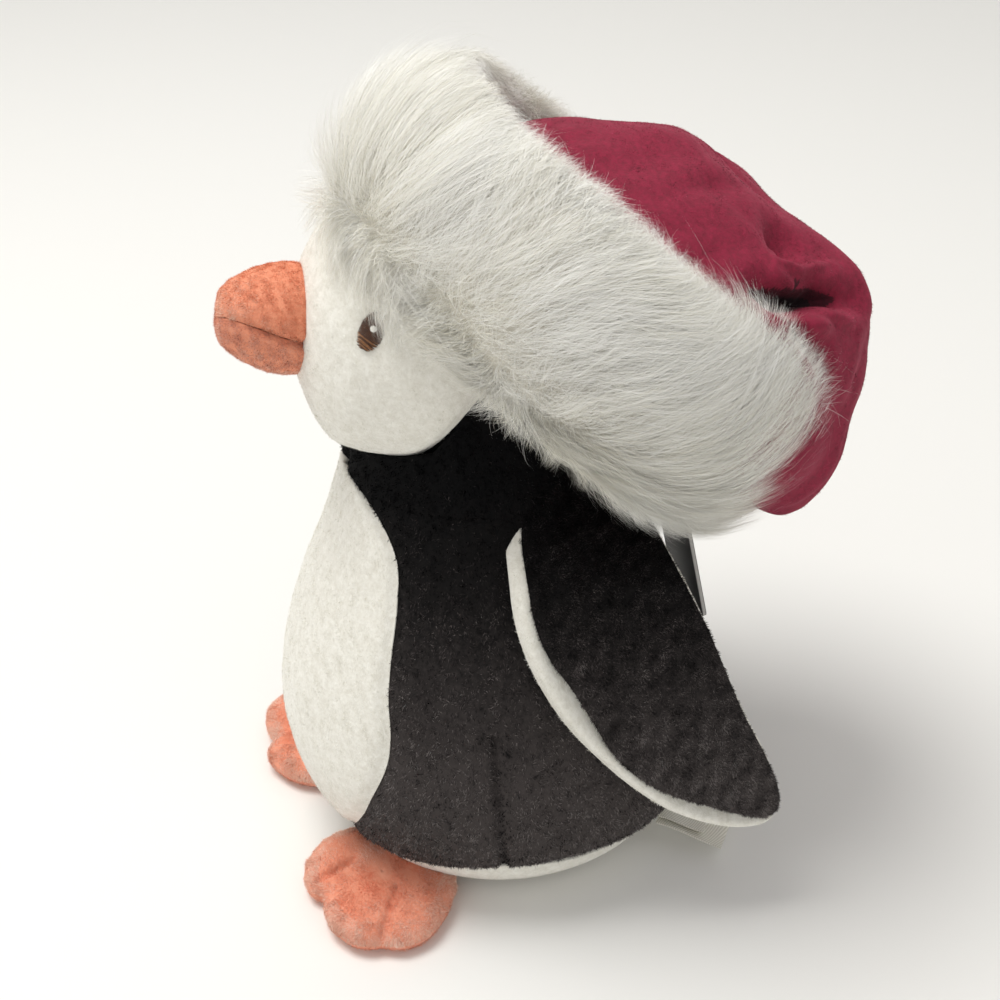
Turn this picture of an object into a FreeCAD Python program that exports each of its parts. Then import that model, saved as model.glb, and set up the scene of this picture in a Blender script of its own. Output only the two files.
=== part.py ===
import FreeCAD, Part
import math
import os

from FreeCAD import Matrix, Placement, Rotation, Vector

# A sitting plush penguin in a fur-brimmed hat, cut and sewn from pile fabric over fibre
# stuffing. Millimetres, +Z up. The penguin faces -Y and its left side is +X. The origin is
# on the floor, under the middle of the flat base.

# Driving dimensions
FABRIC = 2.0                # backing cloth and short pile together
BALL_GAP = 0.4              # between the neck ball and the socket that it turns in
CLEARANCE = 2.5             # kept between the hat and the trunk, so that the head can nod
TRUNK_TOP = 116.0           # where the trunk ends, inside the neck
BASE_SEAM = 8.0             # height of the seam round the white underside
HEAD_CENTRE = Vector(0, -16, 136)
HEAD_TILT = 7.0             # the beak points this far above the horizontal, in degrees
NECK_BALL = 32.0            # radius of the fabric ball that bends at the neck
HAT_TILT = 47.0             # the hat's axis points back and up at this angle, in degrees
HAT_CENTRE = Vector(0, 17.5, 141)
NOD_BACK = 3.0              # degrees that the head tips back before the hat meets the back

# Trunk rings: height, centre along Y, half width, half depth
TRUNK_RINGS = [
    (0, 0, 29, 29), (3, 0, 37, 37), (8, 0, 42.5, 43), (16, 0, 46.5, 48), (30, -1, 50, 51.5),
    (48, -2, 49, 50.5), (68, -3, 44.5, 44.5), (88, -4, 36.5, 36), (104, -6, 29.5, 29.5),
    (120, -8, 26, 27), (126, -9, 25, 26),
]

# Head rings, from the back of the skull to the root of the beak: distance along the beak's
# axis, half width, half height
HEAD_RINGS = [
    (-27.5, 5, 5), (-25.5, 11.5, 11.5), (-20, 19.6, 19.6), (-11, 25.7, 25.7), (0, 28, 28),
    (9, 26.8, 27.6), (16, 24, 26), (21, 21, 23.4), (25, 17, 19), (27.5, 13.6, 14.8),
    (28.5, 12, 13.2),
]

# Beak rings, from its root seam to its blunt tip, on the same axis
BEAK_RINGS = [
    (28.5, 12, 13.2), (33, 11.8, 12.9), (38, 10.6, 11.8), (42, 8.6, 9.8), (44.6, 6, 7),
    (46, 2.5, 3),
]

MOUTH_RISE = 1.0            # the mouth seam runs this far over the beak's axis
BEAK_CORE_END = (44.0, 3.2, 4.0)
# The seam between the white face and the dark hood: a point on its plane and the face's side
FACE_SEAM = (Vector(0, -10.4, 129.5), Vector(0, -0.774, 0.633))
# Embroidered eye: its middle on the left cheek, half width, half height, and how it stands
EYE_CENTRE = Vector(22.3, -31.4, 145.6)
EYE_HALF_WIDTH = 2.9
EYE_HALF_HEIGHT = 5.6
EYE_LEAN = Vector(0, 0.18, 1)
EYE_DEPTH = 3.0             # how far the block of thread reaches in before the head is cut off
EYE_PROUD = 1.2

# White front: half width at each height, from the rounded hem up to the throat
BELLY_OUTLINE = [
    (12, 14), (22, 27), (33, 34.5), (46, 37.5), (60, 35.2), (74, 31.5), (86, 27), (98, 19),
    (105, 12),
]
BELLY_HEM = 9.0
BELLY_TOP = 110.0
# Pouch of pellets low in the trunk: height and radius
POUCH_RINGS = [(4, 22), (7, 31), (13, 35), (19, 31), (22, 20)]

# Wings: the curve of the inner face from the shoulder down, as distance out and height, and
# the outlines of the two layers seen from the side, as distance back and height
WING_CURVE = [(34.3, 99.5), (47.6, 64), (53, 22)]
WING_THICKNESS = 2.8        # of each of the two layers
SHOULDER_RADIUS = 10.5      # room kept round each shoulder seam under the hat
LINING_OUTLINE = [
    (-6, 98), (-6.5, 84), (-1, 68), (10, 52), (25, 37), (41, 28.5), (51, 29.5), (52.5, 38),
    (45, 54), (38, 72), (33.5, 88), (29, 98),
]
OUTER_OUTLINE = [
    (-3, 98), (-2.5, 84), (4, 69.5), (14, 55), (27, 41.5), (41, 33), (51, 31.5), (52.5, 38),
    (45, 54), (38, 72), (33.5, 88), (29, 98),
]

# Feet: outline of one half in the foot's own frame, as distance forward and sideways
FOOT_ANKLE = Vector(22, -27, 0)
FOOT_SPLAY = 45.0
FOOT_THICKNESS = 7.0
FOOT_LIFT = 0.3             # the soles clear the floor by this much
FOOT_HALF = [(-3, 9), (6, 18.5), (17, 21), (25.5, 17.5), (28.5, 10.5), (33, 6)]
FOOT_TOE = 34.0
FOOT_HEEL = -5.0
FOOT_MIDDLE = 14.0          # how far forward the middle of the foot is
# Height above the sole and how far the outline is drawn in there
FOOT_RINGS = [(0, 2.6), (1.2, 0.7), (3.5, 0), (5.6, 0.9), (6.6, 2.8), (7.0, 5.0)]
FOOT_RAISE = 30.0           # how far a foot folds up against the trunk, in degrees
FOOT_DROOP = 10.0           # how far it hangs down when the penguin is lifted
FOOT_HINGE_HEIGHT = 1.5

# Hat: brim ring radii across and up-down, and the half sizes of its section
BRIM_ACROSS = 46.0
BRIM_UP = 49.0
BRIM_RADIAL = 14.0
BRIM_AXIAL = 24.5
WADDING_RADIAL = 6.5
WADDING_AXIAL = 17.0
LINING_RADIUS = 29.6
LINING_THICKNESS = 1.0
LINING_START = 2.0          # the lining begins this far behind the head's centre
# Crown rings: distance along the hat's axis, offset up, half width, half height
CROWN_RINGS = [
    (4, -8, 46, 49), (16, -11, 48, 51), (26, -14, 47, 50), (35, -17.5, 42, 45.5),
    (41, -20, 34, 37.5), (44.5, -21, 22, 25), (46, -21, 9, 11),
]

# Tags
CARD_SIZE = (28.0, 31.0, 1.0)
CARD_CORNER = 3.0
CARD_HOLE = 2.0
CARD_HOLE_DROP = 5.0        # from the card's top edge to the middle of its hole
CARD_TOP = Vector(-6, 43.2, 81)
CARD_SLOPE = 12.4           # the card leans out from the vertical with the back, in degrees
FILAMENT = 0.45
FILAMENT_IN = 14.0          # length of filament behind the card
FILAMENT_OUT = 1.5          # and in front of it
PADDLE = (7.0, 1.0, 0.9)    # nylon bar that holds the card on
LABEL_THICKNESS = 0.6
LABEL_LONG = (13, 17, 4.6)  # width, length and how far the end curls down
LABEL_SHORT = (10, 12, 3.0)
LABEL_ROOT_RADIUS = 43.6
LABEL_ROOT_DROP = 1.2       # under the base seam
LABEL_ROOT_ANGLE = 57.0     # round the base seam, from +X towards +Y


def direction(bearing, pitch=0.0):
    """Unit vector at a bearing from +X towards +Y and a pitch above the horizontal."""
    b, p = math.radians(bearing), math.radians(pitch)
    return Vector(math.cos(b) * math.cos(p), math.sin(b) * math.cos(p), math.sin(p))


def oval(centre, across, upwards, half_across, half_up, points=16):
    """Closed smooth wire round an ellipse in the plane of two unit vectors."""
    turn = [2 * math.pi * k / points for k in range(points)]
    path = [
        centre + across * (half_across * math.cos(a)) + upwards * (half_up * math.sin(a))
        for a in turn
    ]
    curve = Part.BSplineCurve()
    curve.interpolate(path, PeriodicFlag=True)
    return Part.Wire([curve.toShape()])


def smooth_wire(points):
    """Closed smooth wire through points."""
    curve = Part.BSplineCurve()
    curve.interpolate(points, PeriodicFlag=True)
    return Part.Wire([curve.toShape()])


def loft(wires):
    return Part.makeLoft(wires, True, False)


def half_space(point, normal, size=400.0):
    """Large block on the side of a plane that its normal points to."""
    block = Part.makeBox(size, size, size, Vector(-size / 2, -size / 2, 0))
    block.Placement = Placement(point, Rotation(Vector(0, 0, 1), normal))
    return block


def turned(shape, point, axis, degrees):
    copy = shape.copy()
    copy.rotate(point, axis, degrees)
    return copy


def mirrored(shape):
    """The same piece on the other side of the penguin."""
    return shape.mirror(Vector(0, 0, 0), Vector(1, 0, 0))


def save(node, shape, smallest=5.0):
    """Write one sub-part, leaving out slivers under a few cubic millimetres."""
    solids = [s for s in shape.Solids if s.Volume > smallest]
    if not solids:
        solids = shape.Solids
    piece = solids[0] if len(solids) == 1 else Part.makeCompound(solids)
    piece.exportStep(f"parts/{node}.step")
    box = piece.optimalBoundingBox()
    print(f"{node:20s} {len(solids)} {piece.Volume:9.1f} mm3 valid {piece.isValid()} "
          f"x {box.XMin:6.1f} {box.XMax:6.1f} y {box.YMin:6.1f} {box.YMax:6.1f} "
          f"z {box.ZMin:6.1f} {box.ZMax:6.1f}")


# Trunk

def trunk_loft(grow=0.0, floor=0.0):
    """Outside of the trunk, grown outwards, with its bottom at a height above the floor."""
    wires = []
    for height, centre, half_width, half_depth in TRUNK_RINGS:
        z = max(height, floor)
        if wires and z <= floor:
            continue
        wires.append(oval(Vector(0, centre, z), Vector(1, 0, 0), Vector(0, 1, 0),
                          half_width + grow, half_depth + grow))
    return loft(wires)


def neck_ball(radius):
    return Part.makeSphere(radius, HEAD_CENTRE)


def belly_prism():
    right = [Vector(x, 0, z) for z, x in BELLY_OUTLINE]
    left = [Vector(-x, 0, z) for z, x in reversed(BELLY_OUTLINE)]
    wire = smooth_wire([Vector(0, 0, BELLY_HEM)] + right + [Vector(0, 0, BELLY_TOP)] + left)
    return Part.Face(wire).extrude(Vector(0, -90, 0))


def trunk_parts():
    above = half_space(Vector(0, 0, TRUNK_TOP), Vector(0, 0, 1))
    socket = neck_ball(NECK_BALL + BALL_GAP)
    outside = trunk_loft().cut(above).cut(socket)
    inside = trunk_loft(-FABRIC, FABRIC).cut(above).cut(socket)
    shell = outside.cut(inside)
    below_seam = half_space(Vector(0, 0, BASE_SEAM), Vector(0, 0, -1))
    upper = shell.cut(below_seam)
    front = belly_prism()
    sides = upper.cut(front)
    bag = loft([
        oval(Vector(0, 0, z), Vector(1, 0, 0), Vector(0, 1, 0), r, r)
        for z, r in POUCH_RINGS
    ])
    save("base_panel", shell.common(below_seam))
    save("belly_panel", upper.common(front))
    save("left_side_panel", sides.common(half_space(Vector(0, 0, 0), Vector(1, 0, 0))))
    save("right_side_panel", sides.common(half_space(Vector(0, 0, 0), Vector(-1, 0, 0))))
    save("body_stuffing", inside.cut(bag))
    save("bean_bag", bag)


# Head and beak

BEAK_AXIS = direction(-90, HEAD_TILT)
BEAK_UP = direction(90, 90 - HEAD_TILT)


def axis_loft(rings, grow=0.0):
    return loft([
        oval(HEAD_CENTRE + BEAK_AXIS * along, Vector(1, 0, 0), BEAK_UP,
             half_width + grow, half_height + grow)
        for along, half_width, half_height in rings
    ])


def head_solid(grow=0.0):
    """Skull and muzzle with the plug of neck that turns in the trunk's socket."""
    skull_rings = [
        (along - grow if along < 0 else along, max(w + grow, 1.5), max(h + grow, 1.5))
        for along, w, h in HEAD_RINGS
    ]
    skull = axis_loft(skull_rings)
    plug = trunk_loft(grow).common(neck_ball(NECK_BALL + grow))
    return skull.fuse(plug)


def beak_parts():
    outside = axis_loft(BEAK_RINGS)
    inner_rings = [(a, w - FABRIC, h - FABRIC) for a, w, h in BEAK_RINGS[:-2]]
    inner_rings.append(BEAK_CORE_END)
    inside = axis_loft(inner_rings)
    shell = outside.cut(inside)
    mouth = half_space(HEAD_CENTRE + BEAK_UP * MOUTH_RISE, BEAK_UP)
    save("beak_upper", shell.common(mouth))
    save("beak_lower", shell.cut(mouth))
    save("beak_stuffing", inside)


def eye(head):
    """Embroidered oval that stands a little proud of the face."""
    outward = (EYE_CENTRE - (HEAD_CENTRE + BEAK_AXIS * 7)).normalize()
    lean = (EYE_LEAN - outward * EYE_LEAN.dot(outward)).normalize()
    side = lean.cross(outward)
    wire = oval(EYE_CENTRE - outward * EYE_DEPTH, side, lean, EYE_HALF_WIDTH, EYE_HALF_HEIGHT)
    thread = Part.Face(wire).extrude(outward * (EYE_DEPTH + EYE_PROUD))
    return thread.cut(head)


def head_parts():
    outside = head_solid()
    inside = head_solid(-FABRIC)
    shell = outside.cut(inside)
    face_side = half_space(*FACE_SEAM)
    face = shell.common(face_side)
    hood = shell.cut(face_side)
    nose_end = axis_loft(BEAK_RINGS)
    save("face_panel", face.cut(nose_end))
    save("hood_panel", hood)
    save("head_stuffing", inside)
    left = eye(outside)
    save("left_eye", left, 1.0)
    save("right_eye", mirrored(left), 1.0)
    return outside


# Hat

HAT_AXIS = direction(90, HAT_TILT)
HAT_UP = direction(-90, 90 - HAT_TILT)


def brim_ring(radial, axial):
    """Closed ring of oval section round the hat's axis."""
    ring = Part.makeTorus(BRIM_ACROSS, radial)
    stretch = Matrix()
    stretch.A22 = (BRIM_UP + radial) / (BRIM_ACROSS + radial)
    stretch.A33 = axial / radial
    ring = ring.transformGeometry(stretch)
    place = Matrix(
        -1, 0, 0, HAT_CENTRE.x,
        0, HAT_UP.y, HAT_AXIS.y, HAT_CENTRE.y,
        0, HAT_UP.z, HAT_AXIS.z, HAT_CENTRE.z,
        0, 0, 0, 1)
    ring.Placement = Placement(place)
    return ring


def crown_loft(grow=0.0):
    return loft([
        oval(HAT_CENTRE + HAT_AXIS * (along + (grow if along > 30 else 0)) + HAT_UP * offset,
             Vector(1, 0, 0), HAT_UP, half_width + grow, half_height + grow)
        for along, offset, half_width, half_height in CROWN_RINGS
    ])


def hat_keep_out():
    """Room for the trunk, the shoulders and the top of the tag while the head nods."""
    trunk = trunk_loft(CLEARANCE)
    shapes = [trunk, turned(trunk, HEAD_CENTRE, Vector(1, 0, 0), NOD_BACK)]
    hinge_x, hinge_z = WING_CURVE[0]
    for side in (1, -1):
        shoulder = Part.makeCylinder(SHOULDER_RADIUS, 42, Vector(side * (hinge_x + 1), -9, hinge_z - 2),
                                     Vector(0, 1, 0))
        shapes += [shoulder, turned(shoulder, HEAD_CENTRE, Vector(1, 0, 0), NOD_BACK)]
    return shapes


def hat_parts(head):
    keep_out = hat_keep_out()
    brim = brim_ring(BRIM_RADIAL, BRIM_AXIAL)
    wadding = brim_ring(WADDING_RADIAL, WADDING_AXIAL)
    cap = neck_ball(LINING_RADIUS)
    opening = half_space(HEAD_CENTRE + HAT_AXIS * LINING_START, HAT_AXIS)
    lining = cap.cut(neck_ball(LINING_RADIUS - LINING_THICKNESS)).common(opening).cut(head)
    crown = crown_loft()
    bag = crown_loft(-FABRIC)

    def clear(shape):
        for other in [cap, head] + keep_out:
            shape = shape.cut(other)
        return shape

    save("hat_fur_brim", clear(brim.cut(wadding)))
    save("hat_brim_wadding", clear(wadding))
    save("hat_crown", clear(crown.cut(bag).cut(brim)))
    save("hat_filling", clear(bag.cut(brim)))
    for other in keep_out[:2]:
        lining = lining.cut(other)
    save("hat_lining", lining)


# Wings

def wing_slab(near, far):
    """Curved sheet between two distances from the wing's inner face, wide along Y."""
    def arc(offset):
        points = [Vector(x + offset, -40, z) for x, z in WING_CURVE]
        return Part.Arc(*points).toShape()

    inner, outer = arc(near), arc(far)
    ends = [
        Part.LineSegment(inner.Vertexes[-1].Point, outer.Vertexes[-1].Point).toShape(),
        Part.LineSegment(outer.Vertexes[0].Point, inner.Vertexes[0].Point).toShape(),
    ]
    wire = Part.Wire([inner, ends[0], outer, ends[1]])
    return Part.Face(wire).extrude(Vector(0, 120, 0))


def wing_layer(outline, near, far):
    wire = smooth_wire([Vector(0, y, z) for y, z in outline])
    return wing_slab(near, far).common(Part.Face(wire).extrude(Vector(90, 0, 0)))


def wing_parts():
    lining = wing_layer(LINING_OUTLINE, 0.0, WING_THICKNESS)
    outer = wing_layer(OUTER_OUTLINE, WING_THICKNESS, 2 * WING_THICKNESS)
    for side, turn in (("left", lambda s: s), ("right", mirrored)):
        save(f"{side}_wing_lining", turn(lining))
        save(f"{side}_wing_outer", turn(outer))


# Feet

def foot_pad(inset=0.0, floor=0.0):
    """Pillowy foot: its outline drawn in towards the sole and the top."""
    forward = direction(-FOOT_SPLAY)
    sideways = direction(90 - FOOT_SPLAY)
    middle = FOOT_ANKLE + forward * FOOT_MIDDLE
    round_foot = [(FOOT_HEEL, 0)] + FOOT_HALF + [(FOOT_TOE, 0)]
    round_foot += [(f, -s) for f, s in reversed(FOOT_HALF)]
    wires = []
    for height, draw_in in FOOT_RINGS:
        points = []
        for f, s in round_foot:
            point = FOOT_ANKLE + forward * f + sideways * s
            ray = (middle - point).normalize()
            points.append(point + ray * (draw_in + inset))
        z = FOOT_LIFT + floor + height * (1 - 2 * floor / FOOT_THICKNESS)
        wire = smooth_wire(points)
        wire.translate(Vector(0, 0, z))
        wires.append(wire)
    return loft(wires)


def foot_parts():
    sideways = direction(90 - FOOT_SPLAY)
    pad = foot_pad()
    core = foot_pad(FABRIC, FABRIC)
    hinge = FOOT_ANKLE + Vector(0, 0, FOOT_HINGE_HEIGHT)
    for lift in (-FOOT_DROOP, 0, FOOT_RAISE / 2, FOOT_RAISE):
        pad = pad.cut(turned(trunk_loft(1.0), hinge, sideways, lift))
        core = core.cut(turned(trunk_loft(1.0 + FABRIC), hinge, sideways, lift))
    skin = pad.cut(core)
    middle = half_space(Vector(0, 0, FOOT_LIFT + FOOT_THICKNESS / 2), Vector(0, 0, 1))
    for side, turn in (("left", lambda s: s), ("right", mirrored)):
        save(f"{side}_foot_upper", turn(skin.common(middle)))
        save(f"{side}_foot_sole", turn(skin.cut(middle)))
        save(f"{side}_foot_stuffing", turn(core))


# Tags and labels

def tag_parts():
    width, length, thickness = CARD_SIZE
    card = Part.makeBox(width, length, thickness, Vector(-width / 2, 0, 0))
    uprights = [e for e in card.Edges if abs(e.BoundBox.ZLength - thickness) < 0.01]
    card = card.makeFillet(CARD_CORNER, uprights)
    below = Vector(0, CARD_HOLE_DROP, -thickness)
    card = card.cut(Part.makeCylinder(CARD_HOLE, 3 * thickness, below))
    # The card's own Y runs down it and its own Z points away from the back.
    down = direction(90, CARD_SLOPE - 90)
    out = direction(90, CARD_SLOPE)
    card.Placement = Placement(Matrix(
        1, down.x, out.x, CARD_TOP.x,
        0, down.y, out.y, CARD_TOP.y,
        0, down.z, out.z, CARD_TOP.z,
        0, 0, 0, 1))
    hole = CARD_TOP + down * CARD_HOLE_DROP
    front = thickness + FILAMENT_OUT
    filament = Part.makeCylinder(FILAMENT, FILAMENT_IN + front, hole - out * FILAMENT_IN, out)
    filament = filament.cut(trunk_loft(0.05))
    paddle = Part.makeBox(*PADDLE, Vector(-PADDLE[0] / 2, -PADDLE[1] / 2, 0))
    paddle.Placement = Placement(hole + out * front, Rotation(Vector(0, 0, 1), out))
    save("hang_tag", card)
    save("tag_fastener", filament.fuse(paddle), 0.5)


def label(width, length, start, droop):
    """Narrow woven strip curling down and out from the base seam."""
    profile = Part.Arc(Vector(0, 0, 0), Vector(length / 2, 0, -droop * 0.35),
                       Vector(length, 0, -droop)).toShape()
    upper = profile.copy()
    upper.translate(Vector(0, 0, LABEL_THICKNESS))
    ends = [
        Part.LineSegment(profile.Vertexes[-1].Point, upper.Vertexes[-1].Point).toShape(),
        Part.LineSegment(upper.Vertexes[0].Point, profile.Vertexes[0].Point).toShape(),
    ]
    strip = Part.Face(Part.Wire([profile, ends[0], upper, ends[1]]))
    strip = strip.extrude(Vector(0, width, 0))
    strip.translate(Vector(0, -width / 2, 0))
    strip.rotate(Vector(0, 0, 0), Vector(0, 0, 1), LABEL_ROOT_ANGLE)
    strip.translate(start)
    return strip


def label_parts():
    outward = direction(LABEL_ROOT_ANGLE)
    root = Vector(0, 0, BASE_SEAM - LABEL_ROOT_DROP) + outward * LABEL_ROOT_RADIUS
    width, length, droop = LABEL_LONG
    save("care_label_long", label(width, length, root, droop), 1.0)
    width, length, droop = LABEL_SHORT
    save("care_label_short", label(width, length, root + Vector(0, 0, 1.0), droop), 1.0)


def main():
    os.makedirs("parts", exist_ok=True)
    trunk_parts()
    head = head_parts()
    beak_parts()
    hat_parts(head)
    wing_parts()
    foot_parts()
    tag_parts()
    label_parts()


main()
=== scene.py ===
import math

import bpy
import numpy as np
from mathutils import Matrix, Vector
from mathutils.kdtree import KDTree


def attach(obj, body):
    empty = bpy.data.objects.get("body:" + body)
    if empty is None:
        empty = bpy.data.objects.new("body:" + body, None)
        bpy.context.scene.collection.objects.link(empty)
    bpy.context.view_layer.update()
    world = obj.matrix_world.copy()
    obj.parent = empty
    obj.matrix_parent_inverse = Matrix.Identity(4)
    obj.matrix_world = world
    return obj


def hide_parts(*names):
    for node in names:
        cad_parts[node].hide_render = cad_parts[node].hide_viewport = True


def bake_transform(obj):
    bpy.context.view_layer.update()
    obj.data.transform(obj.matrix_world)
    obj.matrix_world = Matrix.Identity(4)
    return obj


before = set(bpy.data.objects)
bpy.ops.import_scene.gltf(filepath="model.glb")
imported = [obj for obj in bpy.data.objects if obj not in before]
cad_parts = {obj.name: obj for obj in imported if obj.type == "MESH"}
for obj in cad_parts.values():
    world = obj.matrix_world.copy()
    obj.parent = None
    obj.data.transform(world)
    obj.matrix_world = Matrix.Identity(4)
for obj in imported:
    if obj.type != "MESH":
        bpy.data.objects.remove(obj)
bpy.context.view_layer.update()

# White front of the trunk: one panel of short white plush over fibre, rounded at its hem and
# narrow at the throat. Its edges are sewn to the dark sides and pull in along the seam.
MM = 0.001
TRUNK_RINGS = MM * np.array([
    (0, 0, 28, 28), (3, 0, 35, 35.5), (8, 0, 40.8, 41.6), (16, 0, 45.8, 47.4),
    (30, -1, 50, 51.5), (48, -2, 49, 50.5), (68, -3.6, 44.5, 44), (88, -5.6, 36.5, 34.4),
    (104, -8, 29.5, 27.6), (120, -9.6, 26, 25.5), (126, -10.4, 25, 24.8),
])
BELLY_EDGE = MM * np.array([
    (9.2, 0), (9.5, 6), (10.6, 13), (13.5, 19), (18, 24.5), (25, 30.5), (34, 35), (43, 37.3),
    (52, 37.2), (61.5, 34.9), (73, 31.9), (83, 28.4), (93, 23.4), (97, 19.2), (99.6, 15),
    (101.4, 10.5), (102.4, 6), (102.9, 1),
])
TRUNK_MIDDLE, TRUNK_RADIUS, NECK_TOP = (0, 0, 0.06), 45, 126
chance = np.random.default_rng(11)


def eased(place, knots, values):
    """A smooth curve through the values at the knots."""
    place = np.asarray(place, float)
    slopes = np.gradient(values, knots, axis=0)
    i = np.clip(np.searchsorted(knots, place) - 1, 0, len(knots) - 2)
    gap = knots[i + 1] - knots[i]
    t = np.clip((place - knots[i]) / gap, 0, 1)
    if values.ndim > 1:
        gap, t = gap[..., None], t[..., None]
    return ((2 * t**3 - 3 * t**2 + 1) * values[i] + (t**3 - 2 * t**2 + t) * gap * slopes[i]
            + (3 * t**2 - 2 * t**3) * values[i + 1] + (t**3 - t**2) * gap * slopes[i + 1])


def trunk_point(height, turn, proud=0.0):
    """A point on the trunk, turned from the front towards the left side."""
    ring = eased(height, TRUNK_RINGS[:, 0], TRUNK_RINGS[:, 1:])
    return np.stack([(ring[..., 1] + proud) * np.sin(turn),
                     ring[..., 0] - (ring[..., 2] + proud) * np.cos(turn),
                     height + 0 * turn], -1)


def unit(vectors):
    return vectors / np.maximum(np.linalg.norm(vectors, axis=-1, keepdims=True), 1e-12)


def dot(a, b):
    return (a * b).sum(-1, keepdims=True)


def drift(points, scale, seed):
    """A soft random value, mostly from -1 to 1, that changes over about a scale's distance."""
    pick = np.random.default_rng(seed)
    waves = pick.normal(size=(7, 3)) / scale
    return 0.75 * np.sin(points @ waves.T + pick.uniform(0, 6.28, 7)).sum(-1) / math.sqrt(3.5)


def swirl(points, scale, seed):
    return np.stack([drift(points, scale, seed + k) for k in range(3)], -1)


def grid_normals(grid, wrap):
    if wrap:
        grid = np.concatenate([grid[:, -1:], grid, grid[:, :1]], 1)
    normal = unit(np.cross(np.gradient(grid, axis=0), np.gradient(grid, axis=1)))
    return normal[:, 1:-1] if wrap else normal


def looking_out(grid, middle, wrap=False):
    """The grid with its rows in the order that makes its normals point away from the middle."""
    away = (grid_normals(grid, wrap) * (grid - np.asarray(middle))).sum()
    return grid if away > 0 else grid[::-1]


def piece(name, corners, faces, finishes, shade=None, normals=None):
    """A mesh object. faces is a list of index arrays, each with one number of corners."""
    mesh = bpy.data.meshes.new(name)
    loops = np.concatenate([f.ravel() for f in faces]).astype(np.int32)
    sizes = np.concatenate([np.full(len(f), f.shape[1]) for f in faces])
    mesh.vertices.add(len(corners))
    mesh.vertices.foreach_set("co", np.asarray(corners, np.float32).ravel())
    mesh.loops.add(len(loops))
    mesh.loops.foreach_set("vertex_index", loops)
    mesh.polygons.add(len(sizes))
    starts = np.concatenate([[0], np.cumsum(sizes)[:-1]]).astype(np.int32)
    mesh.polygons.foreach_set("loop_start", starts)
    mesh.polygons.foreach_set("use_smooth", np.ones(len(sizes), bool))
    for finish in finishes:
        mesh.materials.append(finish)
    if shade is not None:
        mesh.polygons.foreach_set("material_index", np.asarray(shade, np.int32))
    mesh.update(calc_edges=True)
    if normals is not None:
        mesh.normals_split_custom_set_from_vertices(normals.reshape(-1, 3).tolist())
    made = bpy.data.objects.new(name, mesh)
    bpy.context.scene.collection.objects.link(made)
    return made


def closed(grid):
    """The grid with its first column again after its last."""
    return np.concatenate([grid, grid[:, :1]], 1)


def facets(index, inward=False):
    """Four-sided faces between the neighbours in a grid of corner numbers."""
    a, b, c, d = index[:-1, :-1], index[1:, :-1], index[1:, 1:], index[:-1, 1:]
    return np.stack([d, c, b, a] if inward else [a, b, c, d], -1).reshape(-1, 4)


def layered(name, outer, inner, finish, wrap=False):
    """A closed piece of cloth between two grids, joined round their edges."""
    rows, columns = outer.shape[:2]
    index = np.arange(rows * columns).reshape(rows, columns)
    index = closed(index) if wrap else index
    deep = index + rows * columns
    faces = [facets(index), facets(deep, inward=True),
             facets(np.stack([deep[0], index[0]])), facets(np.stack([index[-1], deep[-1]]))]
    if not wrap:
        faces += [facets(np.stack([deep[:, 0], index[:, 0]], 1)),
                  facets(np.stack([index[:, -1], deep[:, -1]], 1))]
    corners = np.concatenate([outer.reshape(-1, 3), inner.reshape(-1, 3)])
    return piece(name, corners, [np.concatenate(faces)], [finish])


def cloth(name, grid, thickness, finish, wrap=False):
    """A closed piece of cloth of one thickness, with the grid as its outside."""
    return layered(name, grid, grid - thickness * grid_normals(grid, wrap), finish, wrap)


def ribbons(name, paths, width, facing, finishes, shade=None, soft=0.5):
    """Tapered fibres as one mesh. paths is fibres by points, and facing is how each lies."""
    count, points = paths.shape[:2]
    along = np.gradient(paths, axis=1)
    side = unit(np.cross(along, facing[:, None]))
    taper = np.linspace(1, 0.4, points - 1)[:, None]
    half = 0.5 * width[:, None, None] * taper * side[:, :-1]
    rungs = np.stack([paths[:, :-1] - half, paths[:, :-1] + half], 2).reshape(count, -1, 3)
    corners = np.concatenate([rungs, paths[:, -1:]], 1)
    own = unit(np.cross(side, along))
    own = own * np.where(dot(own, facing[:, None]) < 0, -1, 1)
    own = unit((1 - soft) * own + soft * facing[:, None])
    normals = np.concatenate([np.repeat(own[:, :-1], 2, axis=1), own[:, -1:]], 1)
    start = np.arange(count)[:, None] * corners.shape[1]
    quads = np.concatenate([start + np.array([2 * j, 2 * j + 1, 2 * j + 3, 2 * j + 2])
                            for j in range(points - 2)])
    tips = start + 2 * (points - 2) + np.array([0, 1, 2])
    if shade is not None:
        shade = np.tile(shade, points - 1)
    return piece(name, corners.reshape(-1, 3), [quads, tips], finishes, shade, normals)


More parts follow.
